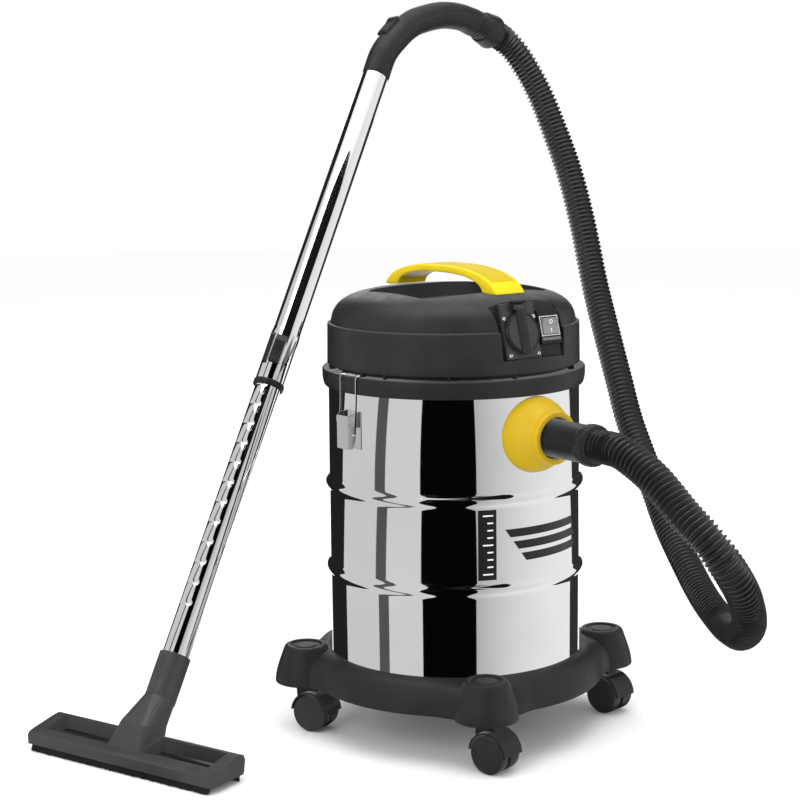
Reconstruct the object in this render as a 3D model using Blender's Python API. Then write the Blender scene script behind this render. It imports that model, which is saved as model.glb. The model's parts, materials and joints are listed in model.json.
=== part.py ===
"""Wet-and-dry shop vacuum: steel drum on a castered dolly, motor head, hose, wand and floor nozzle.

Metres, +Z up, wheels standing on z = 0.  The machine's front (inlet and switch panel) faces -Y.
Everything hangs from the empty "machine", whose origin is the foot of the drum axis, and an angle
called "bearing" is measured round that axis from the front, positive towards +X.
"""
import bpy
import bmesh
from math import sin, cos, pi, radians, degrees, atan2, exp
from mathutils import Matrix, Vector
from mathutils.geometry import interpolate_bezier

# ---------------------------------------------------------------- driving dimensions
GAP = 0.0003                     # clearance between touching pieces
DRUM_AXIS = (0.1028, -0.0697)    # foot of the drum axis in the part's own frame

# dolly and casters
DOLLY_RIM_R = 0.1970
DOLLY_SWELL = 0.0160              # how far the skirt swells out beside each cup
DOLLY_FLOOR_Z = 0.0850
DOLLY_LIP_Z = 0.1090
SKIRT_Z = 0.0660
CUP_RING_R = 0.2035
CUP_TOP_Z = 0.1150
CUP_BASE_R = 0.0415
CUP_TOP_R = 0.0250
CUP_BEARINGS = (-27.4, 62.6, 152.6, 242.6)
CASTER_YAWS = (103.6, 99.6, 108.6, 115.6)
WHEEL_R = 0.0250
WHEEL_WIDTH = 0.0145
WHEEL_OFFSET = 0.0120
WHEEL_BORE_R = 0.0033
CASTER_TRAIL = 0.0140
HOOD_R = 0.0285
HOOD_TOP_Z = 0.0655
STEM_R = 0.0045

# drum
DRUM_R = 0.1665
DRUM_WALL = 0.0012
DRUM_BASE_Z = DOLLY_FLOOR_Z + 0.0035 + GAP
DRUM_TOP_Z = 0.4780
BEADS_Z = (0.2190, 0.3330)
BEAD_HEIGHT = 0.0050
BEAD_HALF = 0.0110

# head
RING_R = 0.1735
RING_BOTTOM_Z = 0.4632
PLATE_TOP_Z = 0.4855
PLATE_UNDER_Z = 0.4815
COVER_BOTTOM_Z = 0.4910
LEDGE_Z = 0.5440
DOME_TOP_Z = 0.5890
POCKET = (0.1000, 0.0740, 0.5680)      # half width, half length, floor height
POCKET_Y = -0.0100                     # the pocket sits a little towards the front
PANEL_TILT = 15.0
PANEL_FOOT = (0.0, -0.1565, 0.5075)
SOCKET_X = -0.0110
SOCKET_SCREWS = ((-0.0238, 0.0530), (-0.0225, 0.0060), (0.0225, 0.0060), (0.0238, 0.0530))
SWITCH_X = 0.0350
LID_R = 0.0255
LID_PIN = (-0.0092, 0.0655)
ROCKER_TILT = 8.0
HANDLE_WIDTH = 0.0480

# inlet, latches
INLET_Z = 0.4135
BOSS_R = 0.0490
BOSS_FACE_Y = -0.2070
CUFF_R = 0.0238
CUFF_END_Y = -0.2800
LATCH_BEARINGS = (-87.0, 93.0)
LATCH_PIN = (-0.1800, 0.4330)
BAIL_PIN = (-0.1790, 0.4130)
BAIL_WIRE_R = 0.0013

# wand and handle: the tube axis runs from the nozzle end up to the handle end
WAND_FOOT = Vector((-0.3561, 0.1349, 0.1226))
WAND_HEAD = Vector((0.0877, 0.2909, 0.8663))
UPPER_TUBE_R = 0.01925
UPPER_BORE_R = 0.01835
SLEEVE_R = 0.02025
SLEEVE_START = 0.4080
UPPER_LENGTH = 0.4885
LOWER_TUBE_R = 0.0175
LOWER_BORE_R = 0.0163
LOWER_TOP = 0.4080
HANDLE_R = 0.0200
HANDLE_BORE_R = 0.0155
SPIGOT_R = 0.0180
BEND_BEARING = 10.0              # the handle bends over towards this compass angle from +X
HANDLE_BEND = ((0.000, 0.000), (0.042, 0.001), (0.082, 0.015), (0.110, 0.030), (0.130, 0.047),
               (0.159, 0.079), (0.180, 0.114), (0.189, 0.140), (0.196, 0.167), (0.201, 0.190))
HANDLE_CUFF_START = 0.150        # across the bend, where the hose cuff takes over
SLIDER_AT = 0.078                # along the handle from its foot

# nozzle
NOZZLE_CENTRE = (-0.4271, 0.1099)
NOZZLE_YAW = -70.6
NOZZLE_HALF = 0.1550
STRIP_HALF = 0.1500
STRIP_TOP_Z = 0.0087
CUFF_LENGTH = 0.0580

# hose: round-section tube whose centre line passes through these points of the machine's frame
HOSE_R = 0.0210
HOSE_STEP = 0.0450
HOSE_ROUTE = (
    (0.000, -0.305, 0.414), (-0.003, -0.333, 0.411), (-0.002, -0.381, 0.389),
    (0.001, -0.427, 0.354), (0.010, -0.458, 0.326), (0.028, -0.473, 0.294),
    (0.057, -0.468, 0.259), (0.098, -0.440, 0.219), (0.144, -0.396, 0.186),
    (0.194, -0.338, 0.157), (0.240, -0.281, 0.140), (0.280, -0.224, 0.133),
    (0.313, -0.157, 0.149), (0.339, -0.094, 0.184), (0.360, -0.039, 0.223),
    (0.376, 0.004, 0.265), (0.393, 0.074, 0.351), (0.406, 0.114, 0.412),
    (0.419, 0.155, 0.478), (0.432, 0.197, 0.550), (0.440, 0.234, 0.640),
    (0.441, 0.266, 0.719), (0.435, 0.297, 0.789), (0.422, 0.320, 0.849),
    (0.399, 0.337, 0.899))

ROUND = 48                       # segments of the big round pieces
SMALL = 24                       # segments of the small ones


# ---------------------------------------------------------------- scene and materials
def clear_scene():
    for obj in list(bpy.data.objects):
        bpy.data.objects.remove(obj, do_unlink=True)


def material(name, colour, metallic=0.0, roughness=0.5):
    mat = bpy.data.materials.new(name)
    mat.use_nodes = True
    shader = mat.node_tree.nodes["Principled BSDF"]
    shader.inputs["Base Color"].default_value = (*colour, 1.0)
    shader.inputs["Metallic"].default_value = metallic
    shader.inputs["Roughness"].default_value = roughness
    mat.diffuse_color = (*colour, 1.0)
    return mat


COLOURS = {
    "black": ((0.035, 0.036, 0.038), 0.0, 0.45),
    "dark": ((0.015, 0.015, 0.016), 0.0, 0.60),
    "yellow": ((0.90, 0.62, 0.01), 0.0, 0.35),
    "amber": ((0.85, 0.52, 0.03), 0.0, 0.40),
    "steel": ((0.75, 0.75, 0.76), 1.0, 0.10),
    "chrome": ((0.85, 0.85, 0.86), 1.0, 0.05),
    "grey": ((0.45, 0.46, 0.47), 0.0, 0.40),
    "paper": ((0.80, 0.76, 0.66), 0.0, 0.80),
    "rubber": ((0.02, 0.02, 0.02), 0.0, 0.85),
    "orange": ((0.80, 0.25, 0.03), 0.0, 0.45),
}


def empty(name, location=(0, 0, 0), rotation=(0, 0, 0), parent=None):
    obj = bpy.data.objects.new(name, None)
    obj.location = location
    obj.rotation_euler = rotation
    obj.parent = parent
    bpy.context.scene.collection.objects.link(obj)
    return obj


def place(name, data, colour, parent=None, location=(0, 0, 0), rotation=(0, 0, 0)):
    """A named object of its own material, shaded smooth except over sharp edges."""
    if isinstance(data, bpy.types.Mesh) and not data.materials:
        data.polygons.foreach_set("use_smooth", [True] * len(data.polygons))
        data.set_sharp_from_angle(angle=radians(35))
    if not data.materials:
        data.materials.append(material(name, *COLOURS[colour]))
    obj = bpy.data.objects.new(name, data)
    obj.location = location
    obj.rotation_euler = rotation
    obj.parent = parent
    bpy.context.scene.collection.objects.link(obj)
    return obj


# ---------------------------------------------------------------- shape makers
def mesh_from(bm, name, move=None):
    if move is not None:
        bmesh.ops.transform(bm, matrix=move, verts=bm.verts)
    bmesh.ops.recalc_face_normals(bm, faces=bm.faces)
    data = bpy.data.meshes.new(name)
    bm.to_mesh(data)
    bm.free()
    return data


TO_Y = Matrix.Rotation(radians(90), 4, "X")      # turns +Z into -Y
TO_X = Matrix.Rotation(radians(90), 4, "Y")      # turns +Z into +X


def turned(name, profile, segments=SMALL, move=None):
    """A solid of revolution about Z; the profile is a closed loop of (radius, height) points.
    Points on the axis close the solid there."""
    bm = bmesh.new()
    rings = []
    for radius, height in profile:
        if radius == 0.0:
            rings.append([bm.verts.new((0, 0, height))])
            continue
        ring = []
        for k in range(segments):
            angle = 2 * pi * k / segments
            ring.append(bm.verts.new((radius * cos(angle), radius * sin(angle), height)))
        rings.append(ring)
    for i, ring in enumerate(rings):
        after = rings[(i + 1) % len(rings)]
        if len(ring) == 1 and len(after) == 1:
            continue
        for k in range(segments):
            n = (k + 1) % segments
            if len(ring) == 1:
                bm.faces.new((ring[0], after[k], after[n]))
            elif len(after) == 1:
                bm.faces.new((ring[k], after[0], ring[n]))
            else:
                bm.faces.new((ring[k], after[k], after[n], ring[n]))
    return mesh_from(bm, name, move)


def rod(name, radius, start, end, segments=SMALL, move=None):
    return turned(name, ((0, start), (radius, start), (radius, end), (0, end)), segments, move)


def slab(name, low, high, bevel=0.0, move=None):
    """A box between two corners, with rounded edges when a bevel is given."""
    bm = bmesh.new()
    bmesh.ops.create_cube(bm, size=1.0)
    for vert in bm.verts:
        for axis in range(3):
            vert.co[axis] = low[axis] if vert.co[axis] < 0 else high[axis]
    if bevel:
        bmesh.ops.bevel(bm, geom=bm.edges[:], offset=bevel, segments=2, profile=0.5, affect="EDGES")
    return mesh_from(bm, name, move)


def extruded(name, outline, start, end, plane="XY", bevel=0.0, move=None):
    """An outline of 2-D points pulled along the third axis.  plane names the outline's axes."""
    order = {"XY": (0, 1, 2), "YZ": (1, 2, 0), "XZ": (0, 2, 1)}[plane]
    bm = bmesh.new()
    loops = []
    for level in (start, end):
        loop = []
        for first, second in outline:
            co = [0.0, 0.0, 0.0]
            co[order[0]] = first
            co[order[1]] = second
            co[order[2]] = level
            loop.append(bm.verts.new(co))
        loops.append(loop)
    bm.faces.new(loops[0])
    bm.faces.new(loops[1])
    count = len(outline)
    for k in range(count):
        n = (k + 1) % count
        bm.faces.new((loops[0][k], loops[0][n], loops[1][n], loops[1][k]))
    if bevel:
        bmesh.ops.recalc_face_normals(bm, faces=bm.faces)
        rims = [e for e in bm.edges if e.verts[0].co[order[2]] == e.verts[1].co[order[2]]]
        bmesh.ops.bevel(bm, geom=rims, offset=bevel, segments=2, profile=0.5, affect="EDGES")
    return mesh_from(bm, name, move)


def lofted(name, sections, move=None):
    """A closed skin over sections that each have the same number of points."""
    bm = bmesh.new()
    rings = [[bm.verts.new(p) for p in section] for section in sections]
    count = len(rings[0])
    for ring, after in zip(rings, rings[1:]):
        for k in range(count):
            n = (k + 1) % count
            bm.faces.new((ring[k], ring[n], after[n], after[k]))
    bm.faces.new(rings[0])
    bm.faces.new(rings[-1])
    return mesh_from(bm, name, move)


def rounded_rectangle(half_x, half_y, radius, steps=5):
    points = []
    for cx, cy, start in ((1, 1, 0), (-1, 1, 90), (-1, -1, 180), (1, -1, 270)):
        for k in range(steps + 1):
            angle = radians(start + 90 * k / steps)
            points.append((cx * (half_x - radius) + radius * cos(angle),
                           cy * (half_y - radius) + radius * sin(angle)))
    return points


def smooth_path(points, step):
    """Evenly spaced points of a smooth curve through the given ones, both ends kept."""
    route = [Vector(p) for p in points]
    dense = []
    for i in range(len(route) - 1):
        before = route[i - 1] if i else route[0] * 2 - route[1]
        after = route[i + 2] if i + 2 < len(route) else route[-1] * 2 - route[-2]
        ahead = route[i] + (route[i + 1] - before) / 6
        behind = route[i + 1] - (after - route[i]) / 6
        dense += interpolate_bezier(route[i], ahead, behind, route[i + 1], 17)[:-1]
    dense.append(route[-1])
    total = sum((b - a).length for a, b in zip(dense, dense[1:]))
    count = max(2, round(total / step))
    result = [dense[0]]
    travelled = 0.0
    for a, b in zip(dense, dense[1:]):
        length = (b - a).length
        while len(result) < count and travelled + length >= total * len(result) / count:
            part = (total * len(result) / count - travelled) / length
            result.append(a.lerp(b, part))
        travelled += length
    result.append(dense[-1])
    return result


def pipe_sections(points, radii, sides, side_hint):
    """Round sections square to a path, without twist."""
    sections = []
    reference = Vector(side_hint)
    for i, point in enumerate(points):
        ahead = points[min(i + 1, len(points) - 1)]
        behind = points[max(i - 1, 0)]
        tangent = (ahead - behind).normalized()
        across = (reference - tangent * reference.dot(tangent)).normalized()
        other = tangent.cross(across)
        ring = []
        for k in range(sides):
            angle = 2 * pi * k / sides
            ring.append(point + (across * cos(angle) + other * sin(angle)) * radii[i])
        sections.append(ring)
    return sections


def tool(name, data, parent=None, location=(0, 0, 0), rotation=(0, 0, 0)):
    """A cutting or joining shape: used by booleans only, never part of the object."""
    obj = bpy.data.objects.new(name, data)
    obj.location = location
    obj.rotation_euler = rotation
    obj.parent = parent
    obj.hide_render = True
    obj.display_type = "WIRE"
    bpy.context.scene.collection.objects.link(obj)
    return obj


def carve(body, tools, operation="DIFFERENCE"):
    for other in tools:
        step = body.modifiers.new(other.name, "BOOLEAN")
        step.operation = operation
        step.object = other
        step.solver = "EXACT"


def bake(obj):
    """Turns an object's booleans into its own mesh and takes the tools away."""
    tools = [m.object for m in obj.modifiers if m.type == "BOOLEAN"]
    bpy.context.view_layer.update()
    graph = bpy.context.evaluated_depsgraph_get()
    data = bpy.data.meshes.new_from_object(obj.evaluated_get(graph))
    bm = bmesh.new()
    bm.from_mesh(data)
    bmesh.ops.remove_doubles(bm, verts=bm.verts, dist=0.00001)
    bmesh.ops.dissolve_degenerate(bm, edges=bm.edges, dist=0.00001)
    bm.to_mesh(data)
    bm.free()
    obj.modifiers.clear()
    obj.data = data
    data.polygons.foreach_set("use_smooth", [True] * len(data.polygons))
    data.set_sharp_from_angle(angle=radians(35))
    for other in tools:
        bpy.data.objects.remove(other, do_unlink=True)
    return obj


def round_the_axis(radius, bearing, height=0.0):
    angle = radians(bearing)
    return (radius * sin(angle), -radius * cos(angle), height)


# ---------------------------------------------------------------- dolly and casters
def swell_skirt(data):
    """Pushes the skirt of the dolly outwards beside each cup, into a softly squared plan."""
    for vert in data.vertices:
        x, y, _ = vert.co
        radius = (x * x + y * y) ** 0.5
        if radius < 0.1780:
            continue
        bearing = degrees(atan2(x, -y))
        near = min(abs((bearing - cup + 180) % 360 - 180) for cup in CUP_BEARINGS)
        share = min(1.0, (radius - 0.1780) / (DOLLY_RIM_R - 0.1780))
        grow = 1 + share * DOLLY_SWELL * exp(-(near / 15.0) ** 4) / radius
        vert.co.x = x * grow
        vert.co.y = y * grow


def make_dolly(machine):
    profile = ((0, DOLLY_FLOOR_Z), (0.1640, DOLLY_FLOOR_Z), (0.1690, DOLLY_FLOOR_Z + 0.003),
               (0.1890, DOLLY_FLOOR_Z + 0.002), (0.1935, SKIRT_Z), (DOLLY_RIM_R, SKIRT_Z),
               (0.1955, 0.0850), (0.1920, 0.0960), (0.1860, 0.1030), (0.1780, 0.1075),
               (0.1720, DOLLY_LIP_Z), (0.1695, 0.1080), (0.1690, 0.0950),
               (0.1660, DOLLY_FLOOR_Z + 0.0035), (0, DOLLY_FLOOR_Z + 0.0035))
    plan = turned("dolly_base", profile, ROUND)
    swell_skirt(plan)
    dolly = place("dolly_base", plan, "black", machine)
    tools = []
    cup = ((0, SKIRT_Z), (CUP_BASE_R, SKIRT_Z), (CUP_BASE_R - 0.001, SKIRT_Z + 0.006),
           (CUP_TOP_R + 0.007, 0.0970), (CUP_TOP_R + 0.001, 0.1100), (CUP_TOP_R - 0.0025, CUP_TOP_Z),
           (0.0165, CUP_TOP_Z), (0.0160, CUP_TOP_Z - 0.0015), (0, CUP_TOP_Z - 0.0015))
    drum_well = turned("drum_well", ((0, DOLLY_FLOOR_Z + 0.0035), (0.1690, DOLLY_FLOOR_Z + 0.0035),
                                     (0.1690, 0.1300), (0, 0.1300)), ROUND)
    for k, bearing in enumerate(CUP_BEARINGS):
        where = round_the_axis(CUP_RING_R, bearing)
        tools.append(tool(f"cup_{k}", turned(f"cup_{k}", cup, 20), machine, where))
    carve(dolly, tools, "UNION")
    bores = [tool("drum_well", drum_well, machine)]
    for k, bearing in enumerate(CUP_BEARINGS):
        where = round_the_axis(CUP_RING_R, bearing)
        bores.append(tool(f"stem_bore_{k}", rod("stem_bore", STEM_R + GAP, 0.05, 0.0950, 16),
                          machine, where))
    carve(dolly, bores)
    bake(dolly)


def arc(radius, start, end, steps, centre=(0.0, 0.0)):
    points = []
    for k in range(steps + 1):
        angle = radians(start + (end - start) * k / steps)
        points.append((centre[0] + radius * cos(angle), centre[1] + radius * sin(angle)))
    return points


def hood_mesh():
    """Twin-wheel hood: a web between the wheels, a fender over them, a neck and a stem.
    The swivel axis is the origin's Z, the wheel axle lies along Y behind it."""
    hub = (-CASTER_TRAIL, WHEEL_R)
    web = WHEEL_OFFSET - WHEEL_WIDTH / 2 - GAP
    half = WHEEL_OFFSET + WHEEL_WIDTH / 2 - 0.001
    outline = [(-0.0250, 0.0470), (0.0020, 0.0380), (0.0088, 0.0360), (0.0105, 0.0480),
               (0.0105, HOOD_TOP_Z), (-0.0105, HOOD_TOP_Z)]
    hood = place("hood_shape", extruded("hood_shape", outline, -0.0085, 0.0085, "XZ"), "black")
    across = Matrix.Translation((hub[0], 0, hub[1])) @ TO_Y
    rooms = []
    for side in (-1, 1):
        near, far = sorted((side * (web - 0.0005), side * 0.060))
        rooms.append(tool("wheel_room", rod("wheel_room", WHEEL_R + 0.0016, near, far, 28, across)))
    carve(hood, rooms)
    web_outline = arc(HOOD_R - 0.0008, -20, 200, 14, hub)
    fender_outline = arc(HOOD_R, 6, 178, 12, hub) + arc(WHEEL_R + 0.0014, 178, 6, 12, hub)
    carve(hood, [tool("web", extruded("web", web_outline, -web, web, "XZ")),
                 tool("fender", extruded("fender", fender_outline, -half, half, "XZ")),
                 tool("stem", rod("stem", STEM_R, HOOD_TOP_Z - 0.003, 0.0920, 16))], "UNION")
    carve(hood, [tool("axle_hole", rod("axle_hole", WHEEL_BORE_R, -0.03, 0.03, 16, across))])
    bake(hood)
    data = hood.data
    bpy.data.objects.remove(hood, do_unlink=True)
    return data


def wheel_mesh():
    half = WHEEL_WIDTH / 2
    profile = ((WHEEL_BORE_R, -half), (WHEEL_R - 0.0008, -half), (WHEEL_R, half - 0.0040),
               (0.0225, half), (0.0205, half), (0.0190, half - 0.0016),
               (0.0070, half - 0.0012), (WHEEL_BORE_R, half))
    return turned("caster_wheel", profile, 20, TO_Y)


def make_casters(machine):
    hood = hood_mesh()
    wheel = wheel_mesh()
    half = WHEEL_OFFSET + WHEEL_WIDTH / 2 - 0.0005
    axle = rod("caster_axle", WHEEL_BORE_R - GAP, -half, half, 16, TO_Y)
    names = ("front", "right", "back", "left")
    for name, bearing, yaw in zip(names, CUP_BEARINGS, CASTER_YAWS):
        fork = place(f"caster_hood_{name}", hood, "black", machine,
                     round_the_axis(CUP_RING_R, bearing), (0, 0, radians(yaw)))
        pin = place(f"caster_axle_{name}", axle, "steel", fork, (-CASTER_TRAIL, 0, WHEEL_R))
        place(f"caster_wheel_{name}_a", wheel, "dark", pin, (0, -WHEEL_OFFSET, 0))
        place(f"caster_wheel_{name}_b", wheel, "dark", pin, (0, WHEEL_OFFSET, 0), (0, 0, pi))


# ---------------------------------------------------------------- drum
def bead(z, side):
    """One rolled bead of the drum wall, as profile points on the outside or the inside."""
    if side == "out":
        return [(DRUM_R, z - BEAD_HALF), (DRUM_R + BEAD_HEIGHT * 0.60, z - BEAD_HALF * 0.58),
                (DRUM_R + BEAD_HEIGHT, z), (DRUM_R + BEAD_HEIGHT * 0.60, z + BEAD_HALF * 0.58),
                (DRUM_R, z + BEAD_HALF)]
    inner = DRUM_R - DRUM_WALL
    return [(inner, z - BEAD_HALF), (inner + BEAD_HEIGHT, z), (inner, z + BEAD_HALF)]


def make_drum(machine):
    z = DRUM_BASE_Z
    outside = [(0, z), (0.1590, z), (0.1645, z + 0.0018), (DRUM_R, z + 0.0060)]
    for height in BEADS_Z:
        outside += bead(height, "out")
    outside += [(DRUM_R, 0.4680), (DRUM_R + 0.0012, 0.4700), (DRUM_R + 0.0012, 0.4770),
                (DRUM_R + 0.0004, DRUM_TOP_Z)]
    inner = DRUM_R - DRUM_WALL
    inside = [(inner + 0.0004, DRUM_TOP_Z), (inner, 0.4765)]
    for height in reversed(BEADS_Z):
        inside += list(reversed(bead(height, "in")))
    inside += [(inner, z + 0.0066), (0.1638, z + 0.0028), (0.1586, z + DRUM_WALL),
               (0, z + DRUM_WALL)]
    drum = place("drum", turned("drum", outside + inside, ROUND), "steel", machine)
    hole = rod("inlet_hole", 0.0288, 0.12, 0.20, SMALL + 8, TO_Y)
    carve(drum, [tool("inlet_hole", hole, machine, (0, 0, INLET_Z))])
    bake(drum)
    seal = ((0.1600, DRUM_TOP_Z + GAP), (0.1690, DRUM_TOP_Z + GAP),
            (0.1690, PLATE_UNDER_Z - GAP), (0.1600, PLATE_UNDER_Z - GAP))
    place("drum_gasket", turned("drum_gasket", seal, ROUND), "rubber", machine)


# ---------------------------------------------------------------- head
def make_head_base(machine):
    profile = ((0.0450, PLATE_TOP_Z), (0.1520, PLATE_TOP_Z), (0.1520, 0.4985), (0.1545, 0.4985),
               (0.1545, PLATE_TOP_Z), (0.1725, PLATE_TOP_Z), (RING_R, PLATE_TOP_Z - 0.0012),
               (RING_R, 0.4712), (0.1713, RING_BOTTOM_Z), (0.1692, RING_BOTTOM_Z),
               (0.1698, 0.4712), (0.1698, PLATE_UNDER_Z), (0.1590, PLATE_UNDER_Z),
               (0.1590, 0.4420), (0.1565, 0.4420), (0.1565, PLATE_UNDER_Z), (0.0450, PLATE_UNDER_Z))
    base = place("head_base", turned("head_base", profile, ROUND), "black", machine)
    rib = slab("rib", (-0.0011, -0.1660, PLATE_TOP_Z - 0.001), (0.0011, -0.1580, COVER_BOTTOM_Z - GAP))
    ribs = []
    for k in range(16):
        ribs.append(tool(f"rib_{k}", rib, machine, (0, 0, 0), (0, 0, radians(22.5 * k + 4.0))))
    carve(base, ribs, "UNION")
    bake(base)


def dome_profile(inset):
    """Outside of the head's upper shell, or the same set in by the wall thickness."""
    outline = ((0.1665, COVER_BOTTOM_Z), (0.1658, LEDGE_Z - 0.001), (0.1650, LEDGE_Z),
               (0.1620, LEDGE_Z + 0.0008), (0.1608, 0.5480), (0.1585, 0.5580), (0.1550, 0.5650),
               (0.1490, 0.5710), (0.1370, 0.5785), (0.1150, 0.5850), (0.0800, 0.5880))
    inner = ((0.1635, COVER_BOTTOM_Z - 0.01), (0.1628, LEDGE_Z - 0.003), (0.1590, LEDGE_Z - 0.001),
             (0.1556, 0.5570), (0.1525, 0.5625), (0.1475, 0.5680), (0.1360, 0.5750),
             (0.1145, 0.5815), (0.0800, 0.5848))
    if inset:
        return ((0, COVER_BOTTOM_Z - 0.01), *inner, (0, DOME_TOP_Z - 0.0032))
    return ((0, COVER_BOTTOM_Z), *outline, (0, DOME_TOP_Z))


def make_head_cover(machine, panel):
    cover = place("head_cover", turned("head_cover", dome_profile(False), ROUND), "black", machine)
    room = place("head_room", turned("head_room", dome_profile(True), ROUND), "black", machine)
    half_x, half_y, floor = POCKET
    wide = [(x, y + POCKET_Y) for x, y in rounded_rectangle(half_x + 0.003, half_y + 0.003, 0.025)]
    tight = [(x, y + POCKET_Y) for x, y in rounded_rectangle(half_x, half_y, 0.022)]
    tray = extruded("tray", wide, floor - 0.003, 0.60)
    bay_box = slab("bay_box", (-0.0580, -0.060, -0.0030), (0.0590, 0.0030, 0.0900))
    carve(room, [tool("tray", tray, machine), tool("bay_box", bay_box, panel)])
    bake(room)
    room.hide_render = True
    room.display_type = "WIRE"
    pocket = extruded("pocket", tight, floor, 0.60)
    bay = extruded("bay", ((-0.0460, 0.0), (0.0560, 0.0), (0.0550, 0.0600), (0.0500, 0.0700),
                           (0.0350, 0.0800), (0.0100, 0.0880), (-0.0250, 0.0880),
                           (-0.0520, 0.0760)), -0.060, 0.0, "XZ")
    gland_hole = rod("gland_hole", 0.0075, 0.15, 0.18, 16, TO_Y)
    carve(cover, [room])
    bake(cover)
    carve(cover, [tool("pocket", pocket, machine), tool("bay", bay, panel)])
    bake(cover)
    carve(cover, [tool("gland_hole", gland_hole, machine, (0, 0, 0.5150), (0, 0, pi))])
    bake(cover)


def make_carry_handle(machine):
    """Arched strap along Y; the feet rest on the dome either side of the pocket."""
    over = ((0.1180, 0.5872), (0.1125, 0.5948), (0.1000, 0.6036), (0.0790, 0.6108),
            (0.0520, 0.6158), (0.0200, 0.6182))
    under = ((0.0200, 0.6090), (0.0500, 0.6065), (0.0730, 0.6010), (0.0860, 0.5950),
             (0.0900, 0.5878), (0.1100, 0.5862))
    outline = [(-y, z) for y, z in over] + [(y, z) for y, z in reversed(over)]
    outline += [(y, z) for y, z in reversed(under)] + [(-y, z) for y, z in under]
    data = extruded("carry_handle", outline, -HANDLE_WIDTH / 2, HANDLE_WIDTH / 2, "YZ", 0.0015)
    place("carry_handle", data, "yellow", machine)


def make_panel(panel):
    """Socket outlet with a sprung lid, and the rocker switch, on the tilted panel.
    In the panel's frame -Y faces outwards and Z runs up the panel."""
    x = SOCKET_X
    pin_y, pin_z = LID_PIN
    plate = place("socket_plate", slab("socket_plate", (x - 0.0270, -0.0045, 0.0012),
                                       (x + 0.0270, -GAP, 0.0720), 0.0010), "black", panel)
    lugs = []
    holes = []
    for side in (-1, 1):
        near, far = sorted((x + side * 0.0072, x + side * 0.0102))
        lugs.append(tool("lug", slab("lug", (near, -0.0122, pin_z - 0.0032),
                                     (far, -0.0030, pin_z + 0.0032)), panel))
    for dx, z in SOCKET_SCREWS:
        holes.append(tool("screw_hole", rod("screw_hole", 0.0018, -0.001, 0.010, 8, TO_Y),
                          panel, (x + dx, 0, z)))
    holes.append(tool("lid_pin_hole", rod("lid_pin_hole", 0.0018, -0.02, 0.02, 12, TO_X),
                      panel, (x, pin_y, pin_z)))
    well = rod("socket_well", 0.0190, 0.0020, 0.010, SMALL, TO_Y)
    holes.append(tool("socket_well", well, panel, (x, 0, 0.0340)))
    carve(plate, lugs, "UNION")
    carve(plate, holes)
    bake(plate)
    for k, (dx, z) in enumerate(SOCKET_SCREWS):
        head = ((0, 0.0010), (0.0014, 0.0010), (0.0014, 0.0045 + GAP), (0.0028, 0.0045 + GAP),
                (0.0022, 0.0060), (0, 0.0063))
        place(f"socket_screw_{k + 1}", turned(f"socket_screw_{k + 1}", head, 10, TO_Y), "chrome",
              panel, (x + dx, 0, z))
    place("lid_pin", rod("lid_pin", 0.0015, -0.0106, 0.0106, 12, TO_X), "steel", panel,
          (x, pin_y, pin_z))

    lid = place("socket_lid", rod("socket_lid", LID_R, 0.0048, 0.0098, SMALL + 4,
                                  Matrix.Translation((0, -pin_y, 0.0340 - pin_z)) @ TO_Y),
                "dark", panel, (x, pin_y, pin_z))
    strap = slab("strap", (-0.0066, -0.0128 - pin_y, -0.0585), (0.0066, -0.0060 - pin_y, -0.0010),
                 0.0008)
    barrel = rod("barrel", 0.0034, -0.0063, 0.0063, 16, TO_X)
    bore = rod("lid_bore", 0.0018, -0.02, 0.02, 12, TO_X)
    at_pin = (x, pin_y, pin_z)
    carve(lid, [tool("strap", strap, panel, at_pin), tool("barrel", barrel, panel, at_pin)], "UNION")
    carve(lid, [tool("lid_bore", bore, panel, at_pin)])
    bake(lid)

    low, high = 0.0165, 0.0600
    frame = place("switch_frame", slab("switch_frame", (SWITCH_X - 0.0170, -0.0065, low),
                                       (SWITCH_X + 0.0170, -GAP, high), 0.0010), "dark", panel)
    mouth = slab("mouth", (SWITCH_X - 0.0135, -0.02, 0.0275), (SWITCH_X + 0.0135, -0.0012, 0.0505))
    carve(frame, [tool("mouth", mouth, panel)])
    bake(frame)
    outline = ((-0.0052, -0.0104), (-0.0042, 0.0), (-0.0052, 0.0104), (0.0008, 0.0104),
               (0.0024, 0.0), (0.0008, -0.0104))
    place("switch_rocker", extruded("switch_rocker", outline, -0.0128, 0.0128, "YZ", 0.0006),
          "grey", panel, (SWITCH_X, -0.0052, 0.0390), (radians(ROCKER_TILT), 0, 0))


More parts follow.
